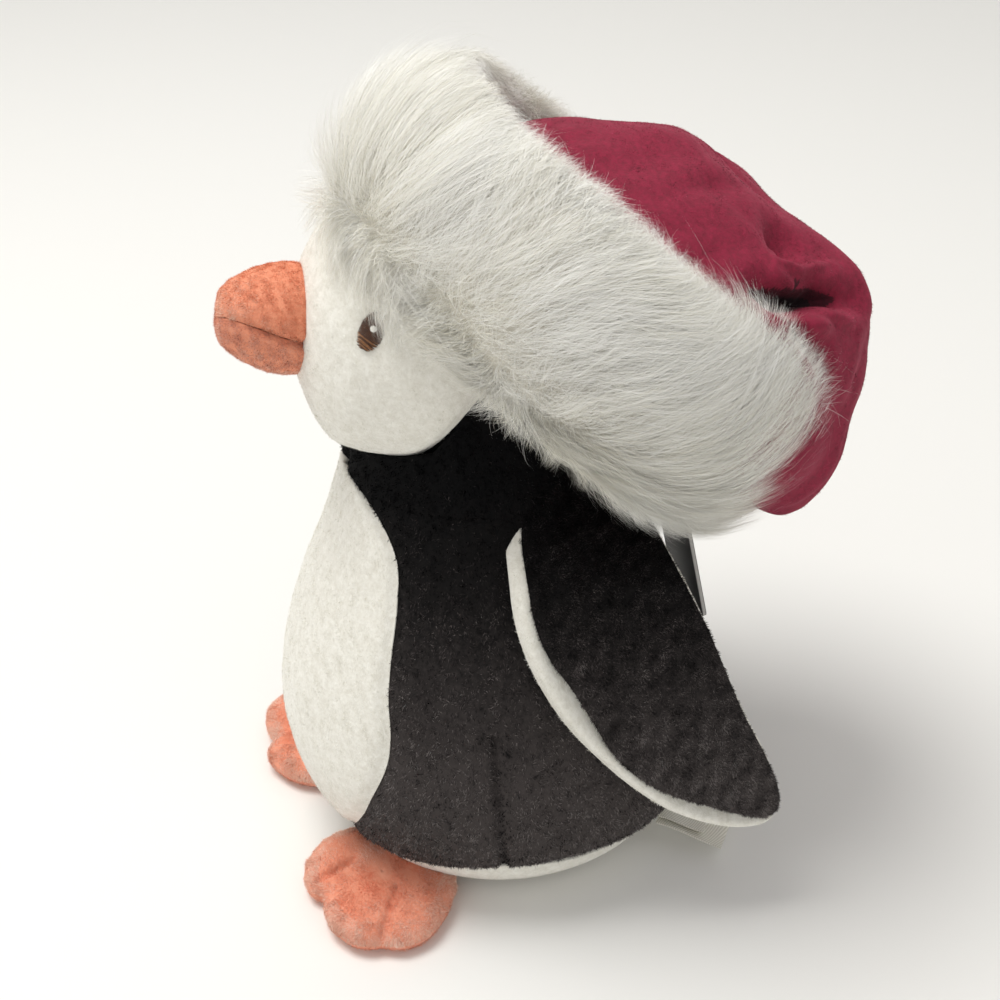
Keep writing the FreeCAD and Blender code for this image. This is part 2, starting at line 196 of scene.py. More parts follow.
def nap(name, grid, count, length, width, lay, finishes, wrap=False, lean=0.9, ruffle=0.35,
        tuft=1.3 * MM, keep=None, spread=0.3, tone=None):
    """Short pile over a grid of cloth, in small tufts that lie along lay."""
    normal_grid = grid_normals(grid, wrap)
    if wrap:
        grid, normal_grid = closed(grid), closed(normal_grid)
        tone = closed(tone) if isinstance(tone, np.ndarray) else tone
    a, b, c = grid[:-1, :-1], grid[1:, :-1], grid[:-1, 1:]
    area = np.linalg.norm(np.cross(b - a, c - a), axis=-1).ravel()
    row, column = np.divmod(chance.choice(len(area), count, p=area / area.sum()), a.shape[1])
    u, v = chance.random((2, count, 1))

    def between(field):
        near = (1 - v) * field[row, column] + v * field[row, column + 1]
        far = (1 - v) * field[row + 1, column] + v * field[row + 1, column + 1]
        return (1 - u) * near + u * far

    root, normal = between(grid), unit(between(normal_grid))
    if tone is None:
        tone = np.zeros(len(root))
    elif callable(tone):
        tone = tone(root)
    else:
        tone = between(tone)[:, 0]
    if keep is not None:
        chosen = keep(root)
        root, normal, tone = root[chosen], normal[chosen], tone[chosen]
    flow = lay(root) if callable(lay) else np.broadcast_to(np.asarray(lay, float), root.shape)
    flow = unit(flow - normal * dot(flow, normal))
    messy = ruffle * swirl(root, tuft, 40) + spread * chance.normal(size=root.shape)
    size = length * (0.75 + 0.45 * chance.random((len(root), 1)))
    size = size * (1 + 0.18 * drift(root, tuft, 50)[:, None])
    first = unit(normal + 0.45 * lean * flow + 0.5 * messy)
    second = unit(0.45 * normal + lean * flow + messy)
    base = root - 0.3 * MM * normal
    middle = base + 0.5 * size * first
    paths = np.stack([base, middle, middle + 0.55 * size * second], 1)
    look = unit(normal + 0.5 * chance.normal(size=root.shape))
    thick = width * (0.7 + 0.6 * chance.random(len(root)))
    paleness = tone + 0.5 * drift(root, 2.2 * tuft, 60) + 0.6 * chance.normal(size=len(root))
    shade = np.digitize(paleness, np.arange(len(finishes) - 1) - len(finishes) / 2 + 1.05)
    return ribbons(name, paths, thick, look, finishes, shade, soft=0.6)


def settle(body, slot, *pieces):
    """The pieces move with a body. slot is not used."""
    for made in pieces:
        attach(made, body)


class Signal:
    """A value or colour inside a finish. Arithmetic on it adds Math nodes."""

    def __init__(self, tree, socket):
        self.tree, self.socket = tree, socket

    def node(self, kind, settings, inputs, out=0):
        made = self.tree.nodes.new(kind)
        for key, value in settings.items():
            if key == "stops":
                ramp = made.color_ramp
                while len(ramp.elements) < len(value):
                    ramp.elements.new(0.5)
                for stop, (place, colour) in zip(ramp.elements, value):
                    stop.position, stop.color = place, (*colour, 1)
            else:
                setattr(made, key, value)
        for key, value in inputs.items():
            if isinstance(value, Signal):
                self.tree.links.new(value.socket, made.inputs[key])
            else:
                made.inputs[key].default_value = value
        return Signal(self.tree, made.outputs[out])

    def maths(self, operation, a, b):
        return self.node("ShaderNodeMath", {"operation": operation}, {0: a, 1: b})

    def __add__(self, other):
        return self.maths("ADD", self, other)

    def __rsub__(self, other):
        return self.maths("SUBTRACT", other, self)

    def __mul__(self, other):
        return self.maths("MULTIPLY", self, other)

    def __gt__(self, other):
        return self.maths("GREATER_THAN", self, other)

    __radd__, __rmul__ = __add__, __mul__

    def grain(self, size, detail=3.0):
        """Noise whose lumps are about this size in metres."""
        return self.node("ShaderNodeTexNoise", {}, {
            "Vector": self, "Scale": 0.5 / size, "Detail": detail, "Roughness": 0.6}, out="Fac")

    def paint(self, *stops):
        """This value as a colour, through a ramp."""
        return self.node("ShaderNodeValToRGB", {"stops": stops}, {0: self})

    def over(self, under, top):
        """Two colours mixed by this value."""
        return self.node("ShaderNodeMix", {"data_type": "RGBA"}, {0: self, 6: under, 7: top},
                         out=2)

    def relief(self, distance):
        return self.node("ShaderNodeBump", {}, {
            "Height": self, "Distance": distance, "Strength": 1.0})


def tint(red, green, blue):
    """A colour given on the 0 to 255 scale of a swatch card, as light."""
    def light(value):
        value /= 255
        return value / 12.92 if value <= 0.04045 else ((value + 0.055) / 1.055)**2.4
    return light(red), light(green), light(blue)


def finish(name, colour, roughness, **constants):
    """A finish of one colour, and its surface node."""
    material = bpy.data.materials.new(name)
    material.use_nodes = True
    surface = material.node_tree.nodes["Principled BSDF"]
    surface.inputs["Base Color"].default_value = (*colour, 1)
    surface.inputs["Roughness"].default_value = roughness
    for key, value in constants.items():
        surface.inputs[key.replace("_", " ")].default_value = value
    return material, surface


def place_on(surface):
    """Where each point is on the object."""
    tree = surface.id_data
    return Signal(tree, tree.nodes.new("ShaderNodeTexCoord").outputs["Object"])


def dress(surface, colour, roughness, relief):
    """Gives a finish the colour, roughness and relief that change over it."""
    for signal, socket in ((colour, "Base Color"), (roughness, "Roughness"), (relief, "Normal")):
        surface.id_data.links.new(signal.socket, surface.inputs[socket])


def pile_shades(*rows):
    """Finishes of one colour each for the fibres of a pile, from dark to pale."""
    return [finish(name, tint(*swatch), roughness, **dict(more))[0]
            for name, swatch, roughness, *more in rows]


def woven(name, dark, light, lump, roughness=0.9, depth=0.25 * MM, **constants):
    """Cloth under its pile: two shades in soft lumps, a mottled finish and a fine nap."""
    material, surface = finish(name, light, roughness, **constants)
    place = place_on(surface)
    lumps, fine = place.grain(lump), place.grain(0.35 * lump, detail=2.0)
    dress(surface, (lumps * 0.65 + fine * 0.35).paint((0.25, dark), (0.7, light)),
          roughness - 0.12 + 0.24 * fine, (lumps * 0.5 + fine * 0.5).relief(depth))
    return material


def edge_dip(distance, depth=1.2 * MM, reach=2.2 * MM):
    """How far the cloth is drawn in beside a seam."""
    return -depth * np.exp(-(distance / reach)**2)


WHITE_DARK, WHITE_LIGHT = tint(214, 210, 198), tint(243, 241, 233)
white_cloth = woven("white_cloth", WHITE_DARK, WHITE_LIGHT, 0.9 * MM, Sheen_Weight=0.25)
white_naps = pile_shades(("white_nap_shade", (220, 217, 204), 0.85),
                         ("white_nap", (237, 235, 225), 0.8),
                         ("white_nap_light", (250, 249, 244), 0.75))


def belly_turn(height):
    """How far round from the front the white panel reaches."""
    width = eased(height, BELLY_EDGE[:, 0], BELLY_EDGE[:, 1])
    ring = eased(height, TRUNK_RINGS[:, 0], TRUNK_RINGS[:, 1:])
    reach = np.arcsin(np.clip(width / ring[..., 1], 0, 1))
    return np.where(height < BELLY_EDGE[0, 0], 0, reach)


rows = np.concatenate([np.linspace(9.25, 16, 30), np.linspace(16.8, 102.8, 110)]) * MM
span = np.sin(np.linspace(-math.pi / 2, math.pi / 2, 90))
height = rows[:, None] + 0 * span
turn = belly_turn(height) * span
to_edge = (belly_turn(height) - np.abs(turn)) * TRUNK_RADIUS * MM
proud = 0.5 * MM + edge_dip(to_edge) + edge_dip(height - rows[0]) \
    + 0.25 * MM * drift(trunk_point(height, turn), 9 * MM, 3)
belly_grid = looking_out(trunk_point(height, turn, proud), TRUNK_MIDDLE)
belly = cloth("belly", belly_grid, 1.4 * MM, white_cloth)
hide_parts("belly_panel")
belly_nap = nap("belly_nap", belly_grid, 64000, 0.6 * MM, 0.2 * MM, (0, -0.2, -1), white_naps,
                ruffle=0.3, tuft=0.7 * MM)
for made in (belly, belly_nap):
    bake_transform(made)

# White underside: a round panel of the same white plush, flat where the toy sits and turned up
# to the seam that joins it to the front and the sides. The seam rides higher over the hips.
BASE_SEAM_TURN = np.radians([0, 30, 58, 80, 100, 130, 180])
BASE_SEAM_HEIGHT = MM * np.array([9.0, 9.4, 14.5, 15.6, 13.5, 11.5, 11.0])


def base_seam(turn):
    turn = np.abs((turn + math.pi) % (2 * math.pi) - math.pi)
    return eased(turn, BASE_SEAM_TURN, BASE_SEAM_HEIGHT)


around = np.linspace(0, 2 * math.pi, 180, endpoint=False)
flat_rows = np.linspace(0.5, 29, 14)[:, None] * MM
flat_part = np.stack([flat_rows * np.sin(around), -flat_rows * np.cos(around),
                      0.25 * MM + 0 * flat_rows * around], -1)
share = np.linspace(0.03, 1, 26)[:, None]**1.3
level = 0.3 * MM + (base_seam(around) - 0.3 * MM) * share
turned_part = trunk_point(level, around + 0 * level,
                          0.4 * MM + edge_dip(base_seam(around) - level))
base_grid = np.concatenate([flat_part, turned_part])
base_grid = looking_out(base_grid, TRUNK_MIDDLE, wrap=True)
base = cloth("base", base_grid, 1.3 * MM, white_cloth, wrap=True)
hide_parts("base_panel")
base_nap = nap("base_nap", base_grid, 26000, 0.6 * MM, 0.18 * MM, (0, 0, 1), white_naps,
               wrap=True, keep=lambda p: p[:, 2] > 1.6 * MM)
settle("trunk", "white_pile", base, base_nap)

# Dark sides: two panels of short charcoal plush that meet down the middle of the back. Each
# has a dart from the base seam, under the wing, that gives the trunk its round bottom.
dark_cloth, surface = finish("charcoal_cloth", tint(40, 37, 37), 0.85, Specular_IOR_Level=0.1)
place = place_on(surface)
lumps = place.grain(0.8 * MM)
# Painted shade and light: the cloth is painted near black high up, where the hat shades it, and
# paler low down, as if lit there
painted_height_shade = (0.105 - place.node("ShaderNodeSeparateXYZ", {}, {0: place}, out="Z")) * 12.0
dress(surface, (painted_height_shade + 0.5 * lumps).paint((0.2, tint(7, 7, 8)), (0.5, tint(24, 22, 22)),
                                              (1.0, tint(66, 61, 60))),
      0.75 + 0.2 * lumps, lumps.relief(0.2 * MM))
dark_naps = pile_shades(
    ("charcoal_nap_black", (6, 6, 7), 0.9, ("Specular_IOR_Level", 0.05)),
    ("charcoal_nap_shade", (22, 21, 21), 0.85, ("Specular_IOR_Level", 0.12)),
    ("charcoal_nap", (46, 42, 42), 0.8, ("Specular_IOR_Level", 0.2)),
    ("charcoal_nap_light", (74, 68, 67), 0.8, ("Specular_IOR_Level", 0.3)),
    ("charcoal_nap_glint", (104, 97, 95), 0.75, ("Sheen_Weight", 0.2)))
DART_TURN, DART_TOP = math.radians(78.5), 57 * MM
SEAM_POINT, SEAM_NORMAL = MM * np.array([0, -10.4, 129.5]), np.array([0, -0.774, 0.633])
HEAD_MIDDLE = MM * np.array([0, -16, 136])
across = np.linspace(0, 1, 160)
share = np.linspace(0, 1, 170)[:, None]
# The neck ends under the face: at the face's seam, or where the chin rests on it
trial = np.linspace(100, NECK_TOP, 200)[:, None] * MM
near = trunk_point(trial, math.pi * across + 0 * trial)
under_face = ((near - SEAM_POINT) @ SEAM_NORMAL > -0.3 * MM) \
    & (np.linalg.norm(near - HEAD_MIDDLE, axis=-1) < 31.2 * MM)
neck_top = np.where(under_face.any(0), trial[np.argmax(under_face, axis=0), 0], NECK_TOP * MM)


def height_light_and_shade(p):
    """Painted light and shade by height: the pile is painted paler low down, as if lit there, and
    near black under the hat, as painted shade.
    """
    return eased(p[:, 2], MM * np.array([10, 35, 60, 85, 105, 130]),
                 np.array([1.6, 1.4, 0.8, -0.2, -1.5, -2.2])) - 0.1


# Painted shade on the sides: the painted light and shade by height, and a darker line of pile in
# the dart's crease
def trunk_painted_shade(p):
    bearing = np.abs(np.arctan2(p[:, 0], -p[:, 1]))
    gap = np.abs(bearing - DART_TURN) * TRUNK_RADIUS * MM + 2.5 * np.maximum(p[:, 2] - DART_TOP, 0)
    return height_light_and_shade(p) - 1.6 * np.exp(-(gap / (1.2 * MM))**2)


SIDES = (1, "left"), (-1, "right")
for side, name in SIDES:
    low = base_seam(math.pi * across) + 0.3 * MM
    height = low + (neck_top - low) * share
    start = belly_turn(height)
    turn = start + (math.pi - start) * across
    size = np.interp(height, TRUNK_RINGS[:, 0], TRUNK_RINGS[:, 2])
    dart = np.abs(turn - DART_TURN) * size + 2.5 * np.maximum(height - DART_TOP, 0)
    proud = 0.4 * MM + edge_dip((turn - start) * size) + edge_dip((math.pi - turn) * size) \
        + edge_dip(height - low) + edge_dip(dart, 1.8 * MM, 1.1 * MM) \
        + 0.3 * MM * drift(trunk_point(height, turn), 11 * MM, 4)
    grid = trunk_point(height, turn, proud) * (side, 1, 1)
    grid = looking_out(grid, TRUNK_MIDDLE)
    panel = cloth(f"{name}_side", grid, 1.4 * MM, dark_cloth)
    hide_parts(f"{name}_side_panel", "body_stuffing", "head_stuffing")
    pile = nap(f"{name}_side_nap", grid, 66000, 1.0 * MM, 0.34 * MM, (0, 0.15, -1), dark_naps,
               lean=0.55, ruffle=0.8, tuft=0.6 * MM, spread=0.4, tone=trunk_painted_shade)
    for made in (panel, pile):
        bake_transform(made)

# Care labels: two narrow strips of woven white satin, folded into the base seam behind the left
# hip. Their cut ends curl down and catch the light.
label_satin, surface = finish("label_satin", tint(238, 237, 233), 0.35, Sheen_Weight=0.3)
spot = place_on(surface)
ribs = spot.node("ShaderNodeTexWave", {"wave_type": "BANDS", "bands_direction": "DIAGONAL"},
                 {"Vector": spot, "Scale": 900.0, "Distortion": 0.6}, out="Fac")
dress(surface, ribs.paint((0.1, tint(206, 202, 188)), (0.8, tint(236, 233, 222))),
      0.28 + 0.2 * ribs, ribs.relief(0.06 * MM))
LABEL_BEARING, SEAM_RADIUS, SEAM_HEIGHT = math.radians(57), 43.4, 7.1
label_out = np.array([math.cos(LABEL_BEARING), math.sin(LABEL_BEARING), 0])
label_side = np.array([-label_out[1], label_out[0], 0])
for name, width, length, droop, rise, curl in (
        ("care_label_long", 13, 17, 4.4, 0.0, 1.2), ("care_label_short", 10, 12, 2.6, 1.0, 0.8)):
    s = np.linspace(0, 1, 40)[:, None]
    w = np.linspace(-0.5, 0.5, 24)
    run = length * (s - 0.02 * s**3)
    fall = droop * (0.5 * s + 0.5 * s**2) - curl * s * (2 * w)**2 + 0.5 * np.sin(5 * s + 3 * w) * s
    corner = SEAM_RADIUS * label_out + (0, 0, SEAM_HEIGHT + rise)
    strip = corner + run[..., None] * label_out + (w * width + 0 * s)[..., None] * label_side
    strip[..., 2] -= fall
    strip = looking_out(strip * MM, (0.0, 0.0, -0.2))
    made = cloth(name, strip, 0.3 * MM, label_satin)
    settle("care_labels", "label_satin", made)
    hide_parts(name)

# Feet: three-toed pads of orange-coral plush, an upper and a sole sewn together round the rim and
# lightly filled. Two lines of stitching through the pad make the toes.
CORAL_DARK, CORAL = tint(228, 138, 106), tint(238, 162, 132)
coral_cloth = woven("coral_cloth", CORAL_DARK, CORAL, 0.8 * MM, Sheen_Weight=0.2)
coral_naps = pile_shades(("coral_nap_deep", (236, 146, 112), 0.8),
                         ("coral_nap", (240, 170, 140), 0.78),
                         ("coral_nap_pale", (246, 200, 178), 0.75))
# Painted sheen: pale pile for the rims of the pads and the edges of the soles
edge_nap, rim_sheen_nap = pile_shades(("coral_nap_edge", (236, 180, 156), 0.78),
                                ("coral_nap_rim_sheen", (250, 220, 204), 0.75))
rim_sheen_naps = [edge_nap, coral_naps[2], rim_sheen_nap]
ANKLE = np.array([22.0, -27.0, 0.0])
FOOT_EDGE = np.array([
    (-4, -5), (-2, -12), (2, -17.3), (7, -20.2), (12.5, -20.9), (18, -19.8), (22.8, -17),
    (25.6, -12.8), (25.4, -9.4), (28.3, -6.8), (31.2, -3.2), (33, 1.5), (33.2, 6.3),
    (31.8, 9.6), (30.0, 11.8), (28.6, 14.9), (25.6, 18.0), (21.0, 19.6), (16.0, 19.6),
    (10.5, 18.4), (4.5, 16), (-0.5, 12), (-4, 5),
])
FOOT_MIDDLE = np.array([13.0, 0.0])
TOE_LINES = [((25.2, -12.4), (13.2, -8.2)), ((29.4, 11.2), (14.7, 5.6))]
# The right foot turns out less than the left, and is sewn on a little further in and forward
FOOT_SPLAY = {1: 45, -1: 33}
FOOT_SHIFT = {1: (-0.6, 0.0), -1: (1.2, -2.8)}
RIM_HEIGHT, PAD_RISE, SOLE_DROP, STITCH_DEPTH = 3.9, 3.3, 3.4, 1.3
edge_turn = np.arctan2(FOOT_EDGE[:, 1], FOOT_EDGE[:, 0] - FOOT_MIDDLE[0])
edge_out = 0.96 * np.hypot(FOOT_EDGE[:, 1], FOOT_EDGE[:, 0] - FOOT_MIDDLE[0])
edge_turn = np.concatenate([edge_turn[-2:] - 2 * math.pi, edge_turn, edge_turn[:2] + 2 * math.pi])
edge_out = np.concatenate([edge_out[-2:], edge_out, edge_out[:2]])


def line_gap(place, ends):
    """How far each place is from a straight line of stitching."""
    a, b = np.array(ends[0]), np.array(ends[1])
    t = np.clip((place - a) @ (b - a) / ((b - a) @ (b - a)), 0, 1)
    return np.linalg.norm(place - a - t[..., None] * (b - a), axis=-1)


around = np.linspace(-math.pi, math.pi, 220, endpoint=False)
share = np.sin(np.linspace(0, math.pi / 2, 46))[:, None]**0.9
share[0] = 0.004
reach = eased(around, edge_turn, edge_out)
flat = FOOT_MIDDLE + (share * reach)[..., None] * np.stack([np.cos(around), np.sin(around)], -1)
to_rim = (1 - share) * reach
dome = np.sqrt(1 - (1 - np.minimum(to_rim / 6.5, 1))**2)
groove = sum(np.exp(-(line_gap(flat, ends) / 1.1)**2) for ends in TOE_LINES)
lumps = 0.35 * drift(np.concatenate([flat, 0 * flat[..., :1]], -1), 5.0, 8)
top = RIM_HEIGHT + PAD_RISE * dome + 0.5 * (1 - share**2) - STITCH_DEPTH * groove * dome \
    + lumps * dome
under = RIM_HEIGHT - SOLE_DROP * np.sqrt(1 - (1 - np.minimum(to_rim / 4.5, 1))**2) - 0.1
for side, name in SIDES:
    splay = math.radians(FOOT_SPLAY[side])
    forward = np.array([math.sin(splay), -math.cos(splay), 0])
    sideways = np.array([math.cos(splay), math.sin(splay), 0])
    shift = FOOT_SHIFT[side]
    plan = ANKLE + (flat[..., :1] + shift[0]) * forward + (flat[..., 1:] + shift[1]) * sideways
    pads = {}
    for part, level, face in (("upper", top, -1), ("sole", under, 1)):
        grid = (plan + level[..., None] * (0, 0, 1)) * (side, 1, 1) * MM
        grid = looking_out(grid, (side * 0.03, -0.035, face * 0.2), wrap=True)
        pads[part] = grid
        made = cloth(f"{name}_foot_{part}", grid, 0.9 * MM, coral_cloth, wrap=True)
        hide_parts(f"{name}_foot_{part}", f"{name}_foot_stuffing")
        pads[part + "_cloth"] = made

    def rimward(p):
        return (p - np.array([side * 0.031, -0.036, 0.004])) * (1, 1, 0.3)

    def rim_share(p):
        local = p * (side, 1, 1) / MM - ANKLE
        f, s = local @ forward - FOOT_MIDDLE[0] - shift[0], local @ sideways - shift[1]
        return np.hypot(f, s) / eased(np.arctan2(s, f), edge_turn, edge_out)

    # Painted sheen: the pile is painted paler towards the rim of each pad, where velvet catches
    # the light at a slant
    def painted_rim_sheen(p):
        return 1.5 * rim_share(p)**3 - 0.2 + 0.25 * drift(p, 5 * MM, 77)

    piles = [
        nap(f"{name}_foot_nap", pads["upper"], 60000, 0.8 * MM, 0.16 * MM, rimward, coral_naps,
            wrap=True, lean=0.7, ruffle=0.3, spread=0.45, tone=painted_rim_sheen),
        nap(f"{name}_foot_rim_nap", pads["upper"], 30000, 1.1 * MM, 0.15 * MM, rimward, rim_sheen_naps,
            wrap=True, ruffle=0.6, keep=lambda p: rim_share(p) > 0.8),
        nap(f"{name}_sole_nap", pads["sole"], 20000, 0.9 * MM, 0.17 * MM, rimward, rim_sheen_naps,
            wrap=True, keep=lambda p: p[:, 2] > 1.2 * MM),
    ]
    for made in piles + [pads["upper_cloth"], pads["sole_cloth"]]:
        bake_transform(made)

# Wings: a curved flap on each side, charcoal plush outside and white plush inside. The white
# lining is cut larger and rolls forward round the front edge as a soft white border.
WING_BACK = np.array([34.3, 47.6, 53.0]), np.array([99.5, 64.0, 22.0])
LINING_ROWS = np.array([
    (1, 103.5, 18, 103), (-3.4, 101.2, 23, 101), (-6.0, 97, 26.8, 97), (-7, 88, 30.8, 89.5),
    (-5.4, 78, 35, 80), (-1.4, 68, 38.4, 71), (3.8, 59, 41, 64), (9.8, 51.2, 43.4, 58.5),
    (16.8, 43.4, 45.8, 53), (25, 36, 48.2, 48), (33, 31, 50.2, 43), (41, 27.8, 51.6, 39),
    (47, 27.4, 52.2, 35.5), (50.4, 29.2, 52, 32.6),
])
OUTER_ROWS = np.array([
    (4, 107, 13, 106), (-1, 103, 20, 102.8), (-3.4, 98, 26.4, 98), (-3.4, 88, 30.4, 89.3),
    (-1, 78.5, 34.8, 79.8), (4.6, 69, 38.2, 70.8), (8.8, 61, 40.8, 63.7), (12.8, 53.4, 43, 58.2),
    (18.6, 46.4, 45.6, 52.7), (26, 40.8, 48, 47.7), (34, 36.6, 50, 42.7), (41.6, 32.8, 51.4, 38.8),
    (47.2, 30.8, 52, 35.4), (50.4, 31.2, 51.8, 32.8),
])


def wing_x(level):
    """How far out the wing's inner face is at a height: an arc of a circle."""
    (x1, x2, x3), (z1, z2, z3) = WING_BACK
    pair = np.array([[x2 - x1, z2 - z1], [x3 - x2, z3 - z2]])
    x0, z0 = np.linalg.solve(pair, 0.5 * np.array([
        x2**2 + z2**2 - x1**2 - z1**2, x3**2 + z3**2 - x2**2 - z2**2]))
    return x0 + np.sqrt(np.hypot(x1 - x0, z1 - z0)**2 - (level - z0)**2)


def wing_layer(outline, inner, thickness, edge, roll=0.0):
    """The outer and inner grids of one layer, rounded where they meet at its edges."""
    steps = np.linspace(0, 1, len(outline))
    along = np.concatenate([np.linspace(0, 0.9, 90), 1 - 0.1 * np.linspace(0.97, 0, 24)**1.6])
    row = eased(along, steps, outline)
    across = 0.5 - 0.5 * np.cos(np.linspace(0, math.pi, 70))
    y = row[:, :1] + (row[:, 2:3] - row[:, :1]) * across
    z = row[:, 1:2] + (row[:, 3:4] - row[:, 1:2]) * across
    wide = np.hypot(row[:, 2] - row[:, 0], row[:, 3] - row[:, 1])[:, None]
    from_front, from_back = across * wide, (1 - across) * wide
    from_tip = (1 - along[:, None]) * 55
    near = np.minimum(np.minimum(from_front, from_back), from_tip)
    full = np.sqrt(1 - (1 - np.clip(near / edge, 0.02, 1))**2)
    body = np.array(thickness + roll * np.exp(-((from_front - 2.4) / 2.4)**2)) * full
    wave = 0.35 * drift(np.stack([y, z, 0 * y], -1), 10.0, 21)
    ring = eased(z * MM, TRUNK_RINGS[:, 0], TRUNK_RINGS[:, 1:]) / MM
    trunk_x = ring[..., 1] * np.sqrt(np.clip(1 - ((y - ring[..., 0]) / ring[..., 2])**2, 0.06, 1))
    sewn = np.clip((z - 89) / 12, 0, 1)
    sewn = sewn**2 * (3 - 2 * sewn)
    middle = (1 - sewn) * (wing_x(z) + inner + thickness / 2 + wave) \
        + sewn * (trunk_x + 0.9 * inner - 3.2)
    faces = []
    for sign, lift in ((1, body - thickness / 2 * full), (-1, thickness / 2 * full)):
        x = middle + sign * lift
        faces.append(np.stack([x, y, z], -1))
    return faces


def shell(name, faces, finish, wide=1):
    """A closed piece between two grids that meet at their edges, and both its grids."""
    outer, inner = (f * (wide, 1, 1) * MM for f in faces)
    outer = looking_out(outer, (0, 0.02, 0.06))
    inner = inner if (outer[0, 0, 2] - inner[0, 0, 2])**2 < 1e-6 else inner[::-1]
    return layered(name, outer, inner, finish), outer, inner[::-1]


lining_faces = wing_layer(LINING_ROWS, 0.0, 2.8, 2.2, roll=2.0)
outer_faces = wing_layer(OUTER_ROWS, 2.7, 2.8, 2.0)
for side, name in SIDES:
    lining, lining_out, lining_in = shell(f"{name}_wing_lining", lining_faces, white_cloth, side)
    outer, outer_out, _ = shell(f"{name}_wing_outer", outer_faces, dark_cloth, side)
    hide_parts(f"{name}_wing_lining")
    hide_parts(f"{name}_wing_outer")
    down = (0, 0.65, -0.75)
    piles = [
        nap(f"{name}_wing_roll_nap", lining_out, 30000, 0.7 * MM, 0.18 * MM, (0, -0.5, -0.5),
            white_naps, ruffle=0.5),
        nap(f"{name}_wing_under_nap", lining_in, 20000, 0.7 * MM, 0.18 * MM, down, white_naps),
        nap(f"{name}_wing_nap", outer_out, 64000, 0.9 * MM, 0.3 * MM, down, dark_naps,
            lean=0.6, ruffle=0.5, tuft=0.6 * MM, spread=0.45, tone=height_light_and_shade),
    ]
    for made, kind in zip([lining, outer] + piles,
                          ["white_pile", "dark_pile", "white_pile", "white_pile", "dark_pile"]):
        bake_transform(made)

# Head: a white face sewn to a dark hood along a slanting seam over the cheeks, filled firm and
# round. The face is drawn in a little where the beak is sewn on and round each eye.
TILT = math.radians(7)
BEAK_OUT = np.array([0, -math.cos(TILT), math.sin(TILT)])
BEAK_UP = np.array([0, math.sin(TILT), math.cos(TILT)])
HEAD_RINGS = MM * np.array([
    (-27.5, 5, 5), (-25.5, 11.5, 11.5), (-20, 19.6, 19.6), (-11, 25.7, 25.7), (0, 28, 28),
    (9, 26.8, 27.6), (16, 24, 26), (21, 21, 23.4), (25, 16.6, 18.4), (27.5, 12.6, 13.6),
    (28.5, 11, 11.8),
])
EYE_MIDDLE = MM * np.array([22.3, -31.4, 145.6])


def head_point(along, turn, proud=0.0):
    """A point on the head, at a distance along the beak's axis, turned from its top."""
    ring = eased(along, HEAD_RINGS[:, 0], HEAD_RINGS[:, 1:]) + np.asarray(proud)[..., None]
    return (HEAD_MIDDLE + along[..., None] * BEAK_OUT
            + (ring[..., 0] * np.sin(turn))[..., None] * np.array([1, 0, 0])
            + (ring[..., 1] * np.cos(turn))[..., None] * BEAK_UP)


def chin(along, turn):
    """How much fuller the head is below and behind the chin, where it rests on the neck."""
    low = np.clip((-np.cos(turn) - 0.05) / 0.85, 0, 1)
    behind = 2.9 * MM * np.exp(-((along - 1 * MM) / (12 * MM))**2)
    before = 2.0 * MM * np.exp(-((along - 21 * MM) / (7 * MM))**2)
    return (behind + before) * low**2 * (3 - 2 * low)


def from_eyes(points, height_share):
    """Distance from the nearer eye, with height counted for less because an eye is tall."""
    return np.minimum(*(np.linalg.norm((points - EYE_MIDDLE * (side, 1, 1))
                                       * (1, 1, height_share), axis=-1) for side in (1, -1)))


around = np.linspace(0, 2 * math.pi, 180, endpoint=False)
trial = np.linspace(-27, 28, 800)[:, None] * MM + 0 * around
side_of_seam = (head_point(trial, trial * 0 + around) - SEAM_POINT) @ SEAM_NORMAL
seam_at = trial[np.argmax(side_of_seam > 0, axis=0), 0]
share = np.linspace(0, 1, 110)[:, None]
along = seam_at + (28.5 * MM - seam_at) * share
turn = around + 0 * share
still = head_point(along, turn)
eye_gap = from_eyes(still, 0.6)
proud = 0.5 * MM + edge_dip(along - seam_at) + edge_dip(28.5 * MM - along, 0.9 * MM, 1.6 * MM) \
    - 0.9 * MM * np.exp(-(eye_gap / (4.0 * MM))**2) + 0.2 * MM * drift(still, 7 * MM, 9) \
    + chin(along, turn)
face_grid = looking_out(head_point(along, turn, proud), HEAD_MIDDLE, wrap=True)
face = cloth("face", face_grid, 1.3 * MM, white_cloth, wrap=True)
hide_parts("face_panel")
back = np.concatenate([np.linspace(-27.4, -24, 12), np.linspace(-23, -19, 8)]) * MM
share = np.linspace(0, 1, 70)[:, None]
along = np.concatenate([back[:, None] + 0 * around,
                        -18 * MM + (seam_at + 18 * MM) * share])
turn = around + 0 * along
proud = 0.4 * MM + edge_dip(seam_at - along) + chin(along, turn)
hood_grid = looking_out(head_point(along, turn, proud), HEAD_MIDDLE, wrap=True)
hood = cloth("hood", hood_grid, 1.3 * MM, dark_cloth, wrap=True)
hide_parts("hood_panel")


def from_beak(p):
    return p - (HEAD_MIDDLE + BEAK_OUT * 30 * MM) + np.array([0, 0, -0.01])


face_nap = nap("face_nap", face_grid, 64000, 0.6 * MM, 0.17 * MM, from_beak, white_naps,
               wrap=True, ruffle=0.3, tuft=0.7 * MM,
               keep=lambda p: from_eyes(p, 0.55) > 2.5 * MM)
hood_nap = nap("hood_nap", hood_grid, 40000, 1.0 * MM, 0.24 * MM, from_beak, dark_naps,
               wrap=True, lean=0.6, ruffle=0.8, tuft=0.6 * MM, keep=lambda p: p[:, 2] < 0.136,
               tone=height_light_and_shade)
settle("head", "white_pile", face, face_nap)
settle("head", "dark_pile", hood, hood_nap)

